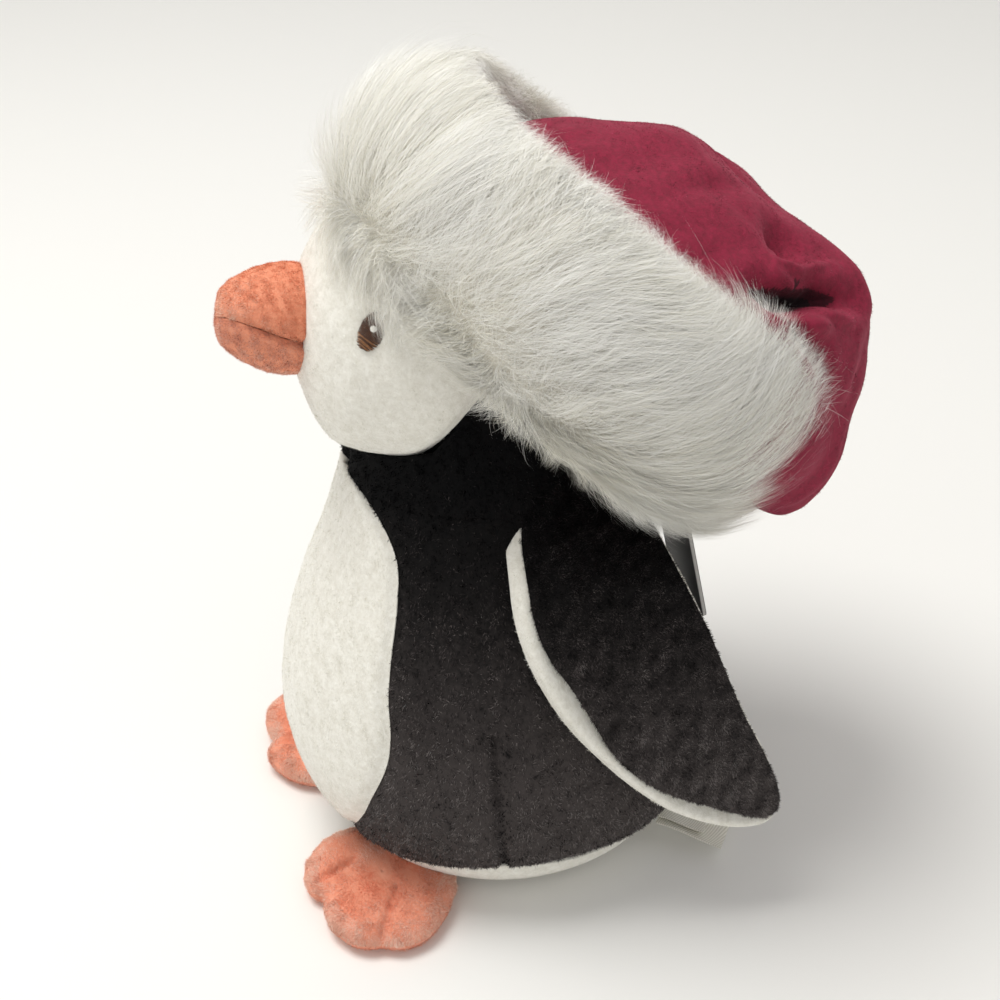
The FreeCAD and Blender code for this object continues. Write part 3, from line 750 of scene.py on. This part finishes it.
# Beak: an upper and a lower half of coral velour, filled so that they puff out on both sides of
# the mouth seam, and sewn to the face round their root.
BEAK_RINGS = MM * np.array([
    (27.6, 10.6, 11.4), (28.5, 11, 11.8), (30.5, 11.2, 12.0), (33, 11.0, 11.7), (38, 9.6, 10.2),
    (41, 8.2, 8.6), (43.5, 6.4, 6.8), (45.2, 4.2, 4.5), (46, 1.4, 1.6),
])
MOUTH_RUN = MM * np.array([27, 33, 38, 42, 46.5])
MOUTH_RISE = MM * np.array([-1.6, 0, 1.4, 2.2, 2.2])
beak_naps = pile_shades(("beak_nap_deep", (228, 148, 112), 0.8),
                        ("beak_nap", (233, 162, 130), 0.78),
                        ("beak_nap_pale", (240, 194, 170), 0.75))
under_naps = pile_shades(("beak_nap_rose", (206, 136, 116), 0.8),
                         ("beak_nap_blush", (228, 168, 144), 0.78),
                         ("beak_nap_tip", (240, 196, 176), 0.75))
beak_cloth = woven("beak_cloth", tint(222, 136, 102), tint(232, 156, 124), 0.8 * MM,
                   depth=0.12 * MM)
steps = np.linspace(0, 1, 60)[:, None]
along = (27.6 + 18.4 * np.sin(steps * math.pi / 2)) * MM
mouth = eased(along, MOUTH_RUN, MOUTH_RISE)
half_turn = np.linspace(-math.pi / 2, math.pi / 2, 90)
ring = eased(along[:, 0], BEAK_RINGS[:, 0], BEAK_RINGS[:, 1:])
mouth = mouth * np.clip(ring[:, 1:] / (6 * MM), 0, 1)


def mouth_gap(p):
    """How far above the mouth seam a point on the beak is."""
    local = p - HEAD_MIDDLE
    return local @ BEAK_UP - eased(local @ BEAK_OUT, MOUTH_RUN, MOUTH_RISE)


def upper_tone(p):
    out = (p - HEAD_MIDDLE) @ BEAK_OUT
    return 0.25 * (out - 38 * MM) / (3 * MM) + 0.9 * np.exp(-(mouth_gap(p) / (3 * MM))**2) - 0.5


# Painted shade: the lower half's pile is painted darker in the crease just under the mouth seam,
# and a little paler further down
def lower_beak_shade(p):
    return -1.4 * np.exp(-(mouth_gap(p) / (1.2 * MM))**2) - 0.08 * mouth_gap(p) / MM - 0.2


for part, up, naps, tone in (("upper", 1, beak_naps, upper_tone),
                             ("lower", -1, under_naps, lower_beak_shade)):
    wide = ring[:, :1] * np.sin(half_turn)
    high = (ring[:, 1:] - up * mouth) * np.cos(half_turn)
    lip = np.exp(-(high / (1.0 * MM))**2) * np.clip((45 * MM - along) / (8 * MM), 0.2, 1)
    wide = wide * (1 - 0.12 * lip)
    level = mouth + up * (high + 0.12 * MM)
    run = along - 0.7 * MM * lip * np.clip((along - 30 * MM) / (14 * MM), 0, 1)
    centre = HEAD_MIDDLE + (run + 0 * wide)[..., None] * BEAK_OUT
    grid = centre + wide[..., None] * np.array([1, 0, 0]) + level[..., None] * BEAK_UP
    grid += unit(grid - HEAD_MIDDLE - BEAK_OUT * 34 * MM) \
        * (0.25 * MM * drift(grid, 6 * MM, 31 + up))[..., None]
    grid = looking_out(grid, HEAD_MIDDLE + BEAK_OUT * 34 * MM)
    made = cloth(f"beak_{part}", grid, 1.0 * MM, beak_cloth)
    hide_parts(f"beak_{part}", "beak_stuffing")
    pile = nap(f"beak_{part}_nap", grid, 44000, 0.7 * MM, 0.14 * MM, lambda p: BEAK_OUT, naps,
               lean=0.7, ruffle=0.25, spread=0.5, tuft=0.6 * MM, tone=tone)
    settle("head", "coral_velour", made, pile)

# Eyes: ovals of brown satin stitch, each stitch lying across the eye, with golden threads in the
# lower front as painted glints and one small white knot as a catchlight.
thread_finishes = []
for name, dark, light in (("brown_thread", tint(40, 22, 12), tint(96, 58, 34)),
                          ("glint_thread", tint(90, 54, 30), tint(176, 124, 78)),
                          ("white_thread", tint(220, 218, 210), tint(250, 249, 245))):
    material, surface = finish(name, light, 0.35, Anisotropic=0.4)
    strand = place_on(surface).grain(0.12 * MM)
    dress(surface, strand.paint((0.35, dark), (0.65, light)), 0.25 + 0.3 * strand,
          strand.relief(0.05 * MM))
    thread_finishes.append(material)
brown_thread, glint_thread, white_thread = thread_finishes


def tube(path, radius, sides=7):
    """Corners and faces of a round thread along a path, closed at both ends."""
    along = unit(np.gradient(path, axis=0))
    across = unit(np.cross(along, (0.31, 0.23, 0.92)))
    up = np.cross(along, across)
    turns = np.linspace(0, 2 * math.pi, sides, endpoint=False)
    size = radius * np.sin(np.linspace(0.12, math.pi - 0.12, len(path)))**0.35
    ring = np.cos(turns)[:, None] * across[:, None] + np.sin(turns)[:, None] * up[:, None]
    corners = (path[:, None] + size[:, None, None] * ring).reshape(-1, 3)
    index = np.arange(len(corners)).reshape(len(path), sides)
    index = np.concatenate([index, index[:, :1]], 1)
    quads = np.stack([index[:-1, :-1], index[:-1, 1:], index[1:, 1:], index[1:, :-1]], -1)
    ends = np.array([(0, k + 1, k) for k in range(1, sides - 1)])
    tail = len(corners) - sides + ends[:, ::-1]
    return corners, quads.reshape(-1, 4), np.concatenate([ends, tail])


def threads(name, paths, radius, finishes, shade):
    """Many threads as one piece."""
    corners, quads, ends, quad_shade, end_shade, start = [], [], [], [], [], 0
    for path, colour in zip(paths, shade):
        c, q, e = tube(path, radius)
        corners.append(c)
        quads.append(q + start)
        ends.append(e + start)
        quad_shade += [colour] * len(q)
        end_shade += [colour] * len(e)
        start += len(c)
    return piece(name, np.concatenate(corners), [np.concatenate(quads), np.concatenate(ends)],
                 finishes, quad_shade + end_shade)


STITCHES, KNOT_STITCHES = 64, 5
EYE_HALF_HIGH, EYE_HALF_WIDE, PAD_HEIGHT = 4.3, 2.7, 0.9
for side, name in SIDES:
    middle = EYE_MIDDLE * (side, 1, 1)
    outward = unit(middle - (HEAD_MIDDLE + BEAK_OUT * 7 * MM))
    lean = np.array([0, 0.55, 1])
    lean = unit(lean - outward * (lean @ outward))
    forth = unit(np.cross(lean, outward)) * side
    paths, shade = [], []
    pick = np.random.default_rng(5)
    for k in range(STITCHES):
        up = -EYE_HALF_HIGH + 2 * EYE_HALF_HIGH * k / (STITCHES - 1)
        half = EYE_HALF_WIDE * math.sqrt(1 - (up / 4.5)**2) * (1 + 0.025 * pick.normal())
        s = np.linspace(-1, 1, 11)
        slant = 0.3 * (-1)**k + 0.1 * pick.normal()
        bulge = PAD_HEIGHT * (1 - (up / 5.2)**2) * np.sqrt(1.04 - s**2) + 0.14 * (k % 2)
        path = (middle + outward * (bulge[:, None] - 0.35) * MM
                + lean * (up + slant * s)[:, None] * MM + forth * (half * s)[:, None] * MM)
        paths.append(path)
        # Painted glints: some stitches are golden thread, more of them low in the eye
        shade.append(1 if pick.random() < (0.3 if up < -1.5 else 0.1) else 0)
    eye = threads(f"{name}_eye", paths, 0.15 * MM, [brown_thread, glint_thread], shade)
    knot = []
    for k in range(KNOT_STITCHES):
        s = np.linspace(-1, 1, 7)
        spread = 0.24 * (k - 2)
        half = 0.72 * math.sqrt(1 - (spread / 0.62)**2)
        path = (middle + outward * (0.72 + 0.3 * np.sqrt(1.05 - s**2))[:, None] * MM
                + lean * (0.45 + spread) * MM + forth * (0.05 + half * s)[:, None] * MM)
        knot.append(path)
    catchlight = threads(f"{name}_eye_knot", knot, 0.16 * MM, [white_thread], [0] * len(knot))
    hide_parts(f"{name}_eye")
    settle("head", "brown_thread", eye)
    settle("head", "white_pile", catchlight)

# Hat crown: a slouchy bag of burgundy velour, loosely filled, gathered into the brim. It sags to
# the left and back, where it has folded over into one deep hollow with wrinkles above it.
HAT_TILT = math.radians(47)
HAT_MIDDLE = MM * np.array([0, 17.5, 141])
HAT_AXIS = np.array([0, math.cos(HAT_TILT), math.sin(HAT_TILT)])
HAT_UP = np.array([0, -math.sin(HAT_TILT), math.cos(HAT_TILT)])
CROWN_RINGS = MM * np.array([
    (-20, -19, 30, 43), (-16, -18.4, 34, 47.4), (-12, -18, 38, 51), (-8, -19.2, 44, 55.6),
    (-4, -19.6, 47, 56.4), (2, -18.6, 50, 55.8), (10, -18, 49.5, 53.6), (18, -18, 46.7, 49),
    (26, -19, 43, 43.5), (32, -21, 37.8, 38),
    (36.5, -23.3, 32, 32.5), (39.5, -25.3, 24.5, 26), (41, -26.5, 14.5, 17.5),
    (41.6, -26.5, 5, 6), (41.7, -26.5, 0.4, 0.4),
])
BURGUNDY_DARK, BURGUNDY = tint(104, 10, 36), tint(146, 24, 58)
velour = woven("burgundy_velour", BURGUNDY_DARK, BURGUNDY, 0.7 * MM, roughness=0.85,
               depth=0.2 * MM, Sheen_Weight=0.3, Sheen_Roughness=0.4,
               Sheen_Tint=(*tint(220, 90, 120), 1))
# Painted shade: darker copies of the velour for the folds and the deep hollow
velour_shaded = woven("burgundy_velour_shaded", tint(50, 4, 18), tint(84, 10, 32), 0.7 * MM,
                      depth=0.2 * MM)
velour_hollow = woven("burgundy_velour_hollow", tint(14, 2, 6), tint(36, 4, 14), 0.7 * MM,
                      depth=0.2 * MM)
velour_naps = pile_shades(("burgundy_nap_black", (36, 4, 14), 0.85),
                          ("burgundy_nap_deep", (112, 12, 42), 0.8),
                          ("burgundy_nap", (162, 28, 68), 0.75),
                          ("burgundy_nap_light", (198, 60, 98), 0.7, ("Sheen_Weight", 0.2)))
# Each fold is the line that it follows, its depth and its half width. Each swell is its middle,
# its height, below 0 for a dent, and its reach.
FOLDS = [
    ([(40.3, 44.0, 154.9), (39.9, 47.0, 153.4), (37.2, 53.6, 151.7), (32.7, 61.1, 149.7),
      (27.3, 69.5, 144.4)], 12.0, 2.8),
    ([(34.9, 47.5, 158.1), (33.5, 54.8, 154.6), (25.5, 64.6, 150.7)], 1.5, 0.9),
    ([(34.0, 49.0, 160.0), (30.9, 53.4, 157.4), (23.9, 63.4, 152.4)], 1.2, 0.8),
    ([(42.6, 47.6, 149.6), (42.5, 50.9, 146.3), (41.5, 57.4, 139.4), (40.9, 60.2, 131.9)],
     3.4, 2.0),
    ([(39.4, 52.9, 149.5), (37.0, 60.0, 144.5), (33.1, 67.6, 138.9)], 1.0, 1.1),
    ([(26.3, 70.5, 136.0), (32.0, 68.0, 128.0), (34.0, 64.0, 120.0)], 1.4, 2.4),
    ([(24.0, 30.0, 172.0), (18.0, 42.0, 169.5), (10.0, 52.0, 164.0)], 1.0, 2.6),
    ([(-24.0, 34.0, 169.0), (-20.0, 46.0, 165.0), (-6.0, 60.0, 158.0)], 1.8, 2.6),
    ([(-40.0, 46.0, 150.0), (-34.0, 60.0, 148.0), (-22.0, 72.0, 142.0)], 3.0, 2.4),
]
SWELLS = [((20.0, 70.5, 147.5), 3.2, 8.0), ((14.4, 77.5, 139.5), 1.6, 8.0),
          ((25.3, 55.5, 159.2), -5.5, 5.5), ((22.0, 45.0, 166.6), -1.6, 8.0),
          ((6.0, 34.0, 174.0), 1.4, 10.0), ((-28.0, 60.0, 152.0), 2.5, 12.0)]


def crown_point(along, turn):
    ring = eased(along, CROWN_RINGS[:, 0], CROWN_RINGS[:, 1:])
    return (HAT_MIDDLE + along[..., None] * HAT_AXIS
            + (ring[..., 1] * np.cos(turn))[..., None] * np.array([1, 0, 0])
            + (ring[..., 0] + ring[..., 2] * np.sin(turn))[..., None] * HAT_UP)


def along_line(points, line):
    """Distance from a bent line, and how far along it, from 0 to 1."""
    line = MM * np.array(line)
    best, share = np.full(points.shape[:-1], 1.0), np.zeros(points.shape[:-1])
    for k, (a, b) in enumerate(zip(line[:-1], line[1:])):
        t = np.clip((points - a) @ (b - a) / ((b - a) @ (b - a)), 0, 1)
        gap = np.linalg.norm(points - a - t[..., None] * (b - a), axis=-1)
        share = np.where(gap < best, (k + t) / (len(line) - 1), share)
        best = np.minimum(gap, best)
    return best, share


around = np.linspace(0, 2 * math.pi, 420, endpoint=False)
steps = np.concatenate([np.linspace(-20, 34, 136), 34.3 + 7.4 * np.sin(
    np.linspace(0, math.pi / 2, 90))])[:, None] * MM
along, turn = steps + 0 * around, around + 0 * steps
crown_grid = looking_out(crown_point(along, turn), HAT_MIDDLE, wrap=True)
normal = grid_normals(crown_grid, True)
still = crown_grid.copy()
push = 0.8 * MM * drift(still, 13 * MM, 14) + 0.25 * MM * drift(still, 4.5 * MM, 15)
gathers = np.sin(26 * turn + 2.5 * drift(still, 12 * MM, 16))
push += 0.7 * MM * gathers * np.exp(-((along - 10 * MM) / (13 * MM))**2)
for line, depth, width in FOLDS:
    gap, share = along_line(still, line)
    ends = np.sin(math.pi * np.clip(share, 0.04, 0.96))**0.7
    push -= depth * MM * ends * np.exp(-(gap / (width * MM))**2)
    lip = np.exp(-((gap - 2.1 * width * MM) / (width * MM))**2)
    push += 0.22 * depth * MM * ends * lip
for spot, height, reach in SWELLS:
    gap = np.linalg.norm(still - MM * np.array(spot), axis=-1)
    push += height * MM * np.exp(-(gap / (reach * MM))**2)
crown_grid = still + push[..., None] * normal
# The cloth above the two deep hollows hangs down over them
for (line, _, width), droop in ((FOLDS[0], 5.5), (FOLDS[3], 1.5)):
    gap, share = along_line(still - np.array([0, 0, 2.0 * width * MM]), line)
    ends = np.sin(math.pi * np.clip(share, 0.04, 0.96))
    hang = droop * MM * ends * np.exp(-(gap / (1.3 * width * MM))**2)
    crown_grid = crown_grid + hang[..., None] * (0.35 * normal + np.array([0, 0, -1]))

# Darkest down in the folds, where the light does not reach
fold_tone = 0.35 * drift(still, 6 * MM, 17)
for line, depth, width in FOLDS:
    gap, share = along_line(still, line)
    ends = np.sin(math.pi * np.clip(share, 0.04, 0.96))**0.7
    fold_tone = fold_tone - 0.45 * depth * ends * np.exp(-(gap / (0.85 * width * MM))**2)
rows, columns = crown_grid.shape[:2]
index = closed(np.arange(rows * columns).reshape(rows, columns))
hubs = [crown_grid[0].mean(0), crown_grid[-1].mean(0)]
caps = [np.stack([index[0, :-1], index[0, 1:], 0 * index[0, 1:] + rows * columns], -1),
        np.stack([index[-1, 1:], index[-1, :-1], 0 * index[-1, 1:] + rows * columns + 1], -1)]
shade = np.digitize(-fold_tone[:-1].ravel(), [1.2, 2.6])
shade = np.concatenate([shade, np.zeros(2 * columns, int)])
crown = piece("hat_crown", np.concatenate([crown_grid.reshape(-1, 3), hubs]),
              [facets(index), np.concatenate(caps)],
              [velour, velour_shaded, velour_hollow], shade)
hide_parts("hat_crown", "hat_filling")
crown_naps = [nap(f"hat_crown_nap_{side}", crown_grid, 130000, 0.6 * MM, 0.17 * MM,
                  (0.2, 0.6, -0.8), velour_naps, wrap=True, ruffle=0.6, tuft=1.1 * MM,
                  keep=keep, tone=fold_tone[..., None])
              for side, keep in (("left", lambda p: p[:, 0] > 0),
                                 ("right", lambda p: p[:, 0] <= 0))]
settle("head", "burgundy_velour", crown, *crown_naps)

# Hat brim: a wide cuff of long white fur, sewn as a tube round the hat and padded. The pile is
# about 12 mm long, very fine, and lies back towards the crown in soft clumps that overlap.
BRIM_ACROSS, BRIM_HIGH = 46 * MM, 49 * MM
fur_backing = woven("fur_backing", tint(206, 200, 186), tint(232, 228, 218), 1.2 * MM,
                    Sheen_Weight=0.2)
fur_shades = pile_shades(("fur_shade", (240, 236, 222), 0.65), ("fur_cream", (249, 247, 238), 0.6),
                         ("fur_white", (254, 253, 249), 0.55))


def brim_point(around, section, radial, axial):
    """Round the ring from the left side up over the top, and round its section from outside."""
    across = np.stack([np.cos(around), 0 * around, 0 * around], -1)
    high = np.sin(around)[..., None] * HAT_UP
    out = unit(across / BRIM_ACROSS + high / BRIM_HIGH)
    return (HAT_MIDDLE + BRIM_ACROSS * across + BRIM_HIGH * high
            + (radial * np.cos(section))[..., None] * out
            + (axial * np.sin(section))[..., None] * HAT_AXIS)


def off_trunk(points, gap):
    """The points moved out of the trunk, which the fur lies on and does not enter."""
    ring = eased(np.clip(points[..., 2], 0, NECK_TOP * MM), TRUNK_RINGS[:, 0], TRUNK_RINGS[:, 1:])
    x, y = points[..., 0], points[..., 1] - ring[..., 0]
    inside = np.hypot(x / (ring[..., 1] + gap), y / (ring[..., 2] + gap))
    low = points[..., 2] < 120 * MM
    scale = np.where(low & (inside < 1), 1 / np.maximum(inside, 0.3), 1)
    return np.stack([x * scale, y * scale + ring[..., 0], points[..., 2]], -1)


around = np.linspace(0, 2 * math.pi, 200, endpoint=False)
section = np.linspace(0, 2 * math.pi, 60, endpoint=False)[:, None]
grid = brim_point(around + 0 * section, section + 0 * around, 8 * MM, 18 * MM)
grid = off_trunk(grid, 2.2 * MM)
index = np.arange(grid[..., 0].size).reshape(grid.shape[:2])
index = closed(np.concatenate([index, index[:1]]))
backing = piece("hat_brim_backing", grid.reshape(-1, 3), [facets(index, inward=True)],
                [fur_backing])
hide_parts("hat_fur_brim", "hat_brim_wadding")

STRANDS, CLUMPS, POINTS, FUR_PIECES = 129000, 3000, 6, 6
ROOT_OUT, ROOT_ALONG = 7.5 * MM, 17.5 * MM
TIP_OUT, TIP_ALONG = 14 * MM, 24.5 * MM


def past(value, edge, blur):
    """0 before the edge and 1 past it, with a soft step between."""
    return 1 / (1 + np.exp((edge - value) / blur))


def combed(around, section):
    """How the fur lies where it grows: its sweep, its slide downhill and how far it stands."""
    place = brim_point(around, section, 12 * MM, 22 * MM)
    top = np.clip(np.sin(around), 0, 1)
    front, ahead = past(-section, 1.0, 0.12), past(-section, 0.1, 0.15)
    back = past(section, 1.1, 0.2)
    sweep = 0.74 - 0.35 * back + (0.22 + 0.4 * front) * drift(place, 8 * MM, 71)
    brow = np.clip(1.4 * top - 0.2, 0, 1) * front
    sweep = sweep * (1 - brow) - 0.35 * brow
    slide = -0.10 * np.cos(around) * (1 - 0.5 * back) \
        + (0.09 + 0.14 * front) * drift(place, 8 * MM, 72)
    reach = 1.0 + 0.07 * drift(place, 6 * MM, 73) + 0.1 * brow + 0.32 * top**3 * ahead \
        - 0.3 * top**2 * (1 - ahead)
    bearing = np.arctan2(np.sin(around), np.cos(around))
    low_front = np.exp(-((bearing + 0.6) / 0.4)**2) * past(-section, 0.2, 0.2)
    low_back = np.exp(-((bearing + 0.7) / 0.5)**2) * past(section, 0.6, 0.25)
    reach = reach + 0.15 * low_front + 0.36 * low_back
    sweep = sweep - 0.2 * low_back
    return sweep, slide, reach


def strand_paths(around, section, sweep, slide, reach, curl):
    s = np.linspace(0, 1, POINTS)
    grow = s**0.75
    radial = ROOT_OUT + (TIP_OUT * reach[:, None] - ROOT_OUT) * grow
    axial = ROOT_ALONG + (TIP_ALONG * (0.5 + 0.5 * reach[:, None]) - ROOT_ALONG) * grow
    path = brim_point(around[:, None] + slide[:, None] * s**1.4,
                      section[:, None] + sweep[:, None] * s**1.25, radial, axial)
    wave = np.sin(curl[:, :1] + (2.0 + 3.0 * curl[:, 1:2]) * s)
    bend = unit(np.cross(path[:, -1] - path[:, 0], path[:, 0] - HAT_MIDDLE))
    loose = (0.5 + 1.6 * past(-section, 0.7, 0.15))[:, None]
    return path + (loose * MM * s * wave)[..., None] * bend[:, None]


def grown(count, low=-2.2, high=2.1):
    return chance.uniform(0, 2 * math.pi, count), chance.uniform(low, high, count)


clump_around, clump_section = grown(CLUMPS)
sweep, slide, reach = combed(clump_around, clump_section)
sweep = sweep + 0.22 * chance.normal(size=CLUMPS)
slide = slide + 0.07 * chance.normal(size=CLUMPS)
reach = reach + 0.05 * chance.normal(size=CLUMPS)
clump_curl = chance.uniform(0, 1, (CLUMPS, 2)) * (6.28, 1)
clump_paths = strand_paths(clump_around, clump_section, sweep, slide, reach, clump_curl)
tree = KDTree(CLUMPS)
for k, spot in enumerate(clump_paths[:, 0]):
    tree.insert(spot, k)
tree.balance()
strand_around, strand_section = grown(STRANDS)
roots = brim_point(strand_around, strand_section, ROOT_OUT, ROOT_ALONG)
owner = np.array([tree.find(spot)[1] for spot in roots])
own_sweep, own_slide, own_reach = combed(strand_around, strand_section)
FOLLOWS = 0.55
own_sweep = FOLLOWS * sweep[owner] + (1 - FOLLOWS) * own_sweep + 0.2 * chance.normal(size=STRANDS)
own_slide = FOLLOWS * slide[owner] + (1 - FOLLOWS) * own_slide + 0.09 * chance.normal(size=STRANDS)
own_reach = own_reach * 0.5 + 0.5 * reach[owner] - 0.12 * chance.random(STRANDS)**2 \
    + 0.03 * chance.normal(size=STRANDS)
paths = strand_paths(strand_around, strand_section, own_sweep, own_slide, own_reach,
                     0.8 * clump_curl[owner] + 0.2 * chance.uniform(0, 1, (STRANDS, 2)))
s = np.linspace(0, 1, POINTS)[:, None]
gather = 0.12 + 0.55 * past(-strand_section, 0.7, 0.15)
pull = (gather + 0.3 * chance.random(STRANDS))[:, None, None] * s**1.3
paths = paths + pull * (clump_paths[owner] - paths)
paths += 0.6 * MM * s * chance.normal(size=(STRANDS, 1, 3))
paths = off_trunk(paths, 2.6 * MM)
spine = brim_point(strand_around, strand_section * 0, 0.0, 0.0)
facing = unit(paths[:, 3] - spine + 7 * MM * chance.normal(size=spine.shape))
thick = 0.09 * MM * (0.7 + 0.6 * chance.random(STRANDS))
paleness = 0.5 * drift(clump_paths[owner, 0], 6 * MM, 81) + 0.7 * chance.normal(size=STRANDS)
shade = np.digitize(paleness, [-1.1, -0.2])
for k in range(FUR_PIECES):
    part = slice(k * STRANDS // FUR_PIECES, (k + 1) * STRANDS // FUR_PIECES)
    settle("head", "white_fur", ribbons(f"hat_fur_{k + 1}", paths[part], thick[part], facing[part],
                                        fur_shades, shade[part], soft=0.35))
settle("head", "white_fur", backing)

# Loose fibres: longer hairs that have worked out of the brim's pile. They stand off it at odd
# angles and soften its outline.
LOOSE = 6000
around, section = grown(LOOSE, -1.8, 1.9)
sweep, slide, reach = combed(around, section)
paths = strand_paths(around, section, sweep + 0.5 * chance.normal(size=LOOSE),
                     slide + 0.16 * chance.normal(size=LOOSE),
                     reach + 0.06 + 0.12 * chance.random(LOOSE),
                     chance.uniform(0, 1, (LOOSE, 2)) * (6.28, 1))
paths = off_trunk(paths, 2.6 * MM)
spine = brim_point(around, section * 0, 0.0, 0.0)
loose = ribbons("hat_fur_loose", paths, 0.07 * MM * np.ones(LOOSE),
                unit(paths[:, 3] - spine + 9 * MM * chance.normal(size=spine.shape)),
                fur_shades[1:], (chance.random(LOOSE) < 0.7).astype(int), soft=0.3)
settle("head", "white_fur", loose)

# Swing card: dark grey card with a pale core that shows at its cut edges, held to the back by a
# clear nylon bar. The parts inside the toy get plain working finishes of their own.
card, surface = finish("grey_card", tint(62, 62, 66), 0.5)
spot = place_on(surface)
slope, CARD_BACK, CARD_HEIGHT, CARD_SKIN, CARD_THICK = math.radians(12.4), 43.2, 81, 0.12, 1.0
across_card = spot.node("ShaderNodeVectorMath", {"operation": "DOT_PRODUCT"},
                        {0: spot, 1: (0, math.cos(slope), math.sin(slope))}, out="Value")
card_face = (CARD_BACK * math.cos(slope) + CARD_HEIGHT * math.sin(slope)) * MM
core = (across_card > card_face + CARD_SKIN * MM) \
    * (1 - (across_card > card_face + (CARD_THICK - CARD_SKIN) * MM))
flecks = spot.grain(0.25 * MM)
printed = flecks.paint((0.35, tint(52, 52, 56)), (0.7, tint(74, 74, 78)))
dress(surface, core.over(printed, (*tint(196, 194, 190), 1)), 0.42 + 0.2 * flecks,
      flecks.relief(0.03 * MM))
nylon = woven("clear_nylon", tint(214, 216, 218), tint(238, 240, 242), 2 * MM, roughness=0.25,
              depth=0.02 * MM)
pellets = woven("pellets", tint(206, 208, 206), tint(240, 240, 238), 1.6 * MM, depth=0.9 * MM,
                roughness=0.5)
lining_cloth = woven("hat_lining_cloth", tint(226, 224, 216), tint(244, 243, 238), 0.4 * MM,
                     depth=0.1 * MM)
for node, material in (("hang_tag", card), ("tag_fastener", nylon), ("bean_bag", pellets),
                       ("hat_lining", lining_cloth)):
    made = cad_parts[node]
    made.data.materials.clear()
    made.data.materials.append(material)
    for slot in made.material_slots:
        slot.material = material

# Studio: a plain pale floor that turns up into the backdrop, a large soft lamp overhead and a
# little in front, a weak fill, and a camera that looks down at the toy's left side.
floor_finish, surface = finish("floor", tint(240, 239, 236), 0.8)
floor_half, bend = 1.6, 0.5
profile = [(-floor_half, 0.0)] + [(floor_half - bend + bend * math.sin(t),
                                   bend - bend * math.cos(t))
                                  for t in np.linspace(0, math.pi / 2, 24)] + [(floor_half, 2.2)]
profile = np.array(profile)
wide = np.linspace(-2.4, 2.4, 3)
away = math.radians(77)
back_way = np.array([-math.sin(away), math.cos(away), 0])
side_way = np.array([math.cos(away), math.sin(away), 0])
sweep_grid = (profile[:, None, :1] * back_way + profile[:, None, 1:] * (0, 0, 1)
              + wide[None, :, None] * side_way)
corner_numbers = np.arange(3 * len(profile)).reshape(-1, 3)
floor = piece("floor", sweep_grid.reshape(-1, 3), [facets(corner_numbers)[:, [0, 3, 2, 1]]],
              [floor_finish])


def aimed(name, data, place, target):
    """A lamp or camera at a place, pointed at a target."""
    made = bpy.data.objects.new(name, data)
    made.location = place
    aim = np.array(target) - np.array(made.location)
    made.rotation_euler = Vector(aim).to_track_quat("-Z", "Y").to_euler()
    bpy.context.scene.collection.objects.link(made)
    return made


def lamp(name, place, target, size, power, colour=(1, 1, 1)):
    data = bpy.data.lights.new(name, "AREA")
    data.shape, data.size, data.energy, data.color = "DISK", size, power, colour
    aimed(name, data, place, target)


lamp("key", (-0.08, -0.36, 1.2), (0, 0, 0.08), 0.7, 10.5, (1.0, 0.99, 0.96))
lamp("fill", (0.9, -0.5, 0.6), (0, 0, 0.1), 0.9, 0.8)
world = bpy.data.worlds.new("studio")
world.use_nodes = True
world.node_tree.nodes["Background"].inputs["Color"].default_value = (1, 0.995, 0.985, 1)
world.node_tree.nodes["Background"].inputs["Strength"].default_value = 0.58
bpy.context.scene.world = world
bpy.context.scene.view_settings.view_transform = "Standard"

view = bpy.data.cameras.new("camera")
view.sensor_width, view.lens, view.shift_y = 36, 59.4, -0.045
bpy.context.scene.camera = aimed("camera", view, (0.3207, -0.0740, 0.2900), (0, 0, 0.1))
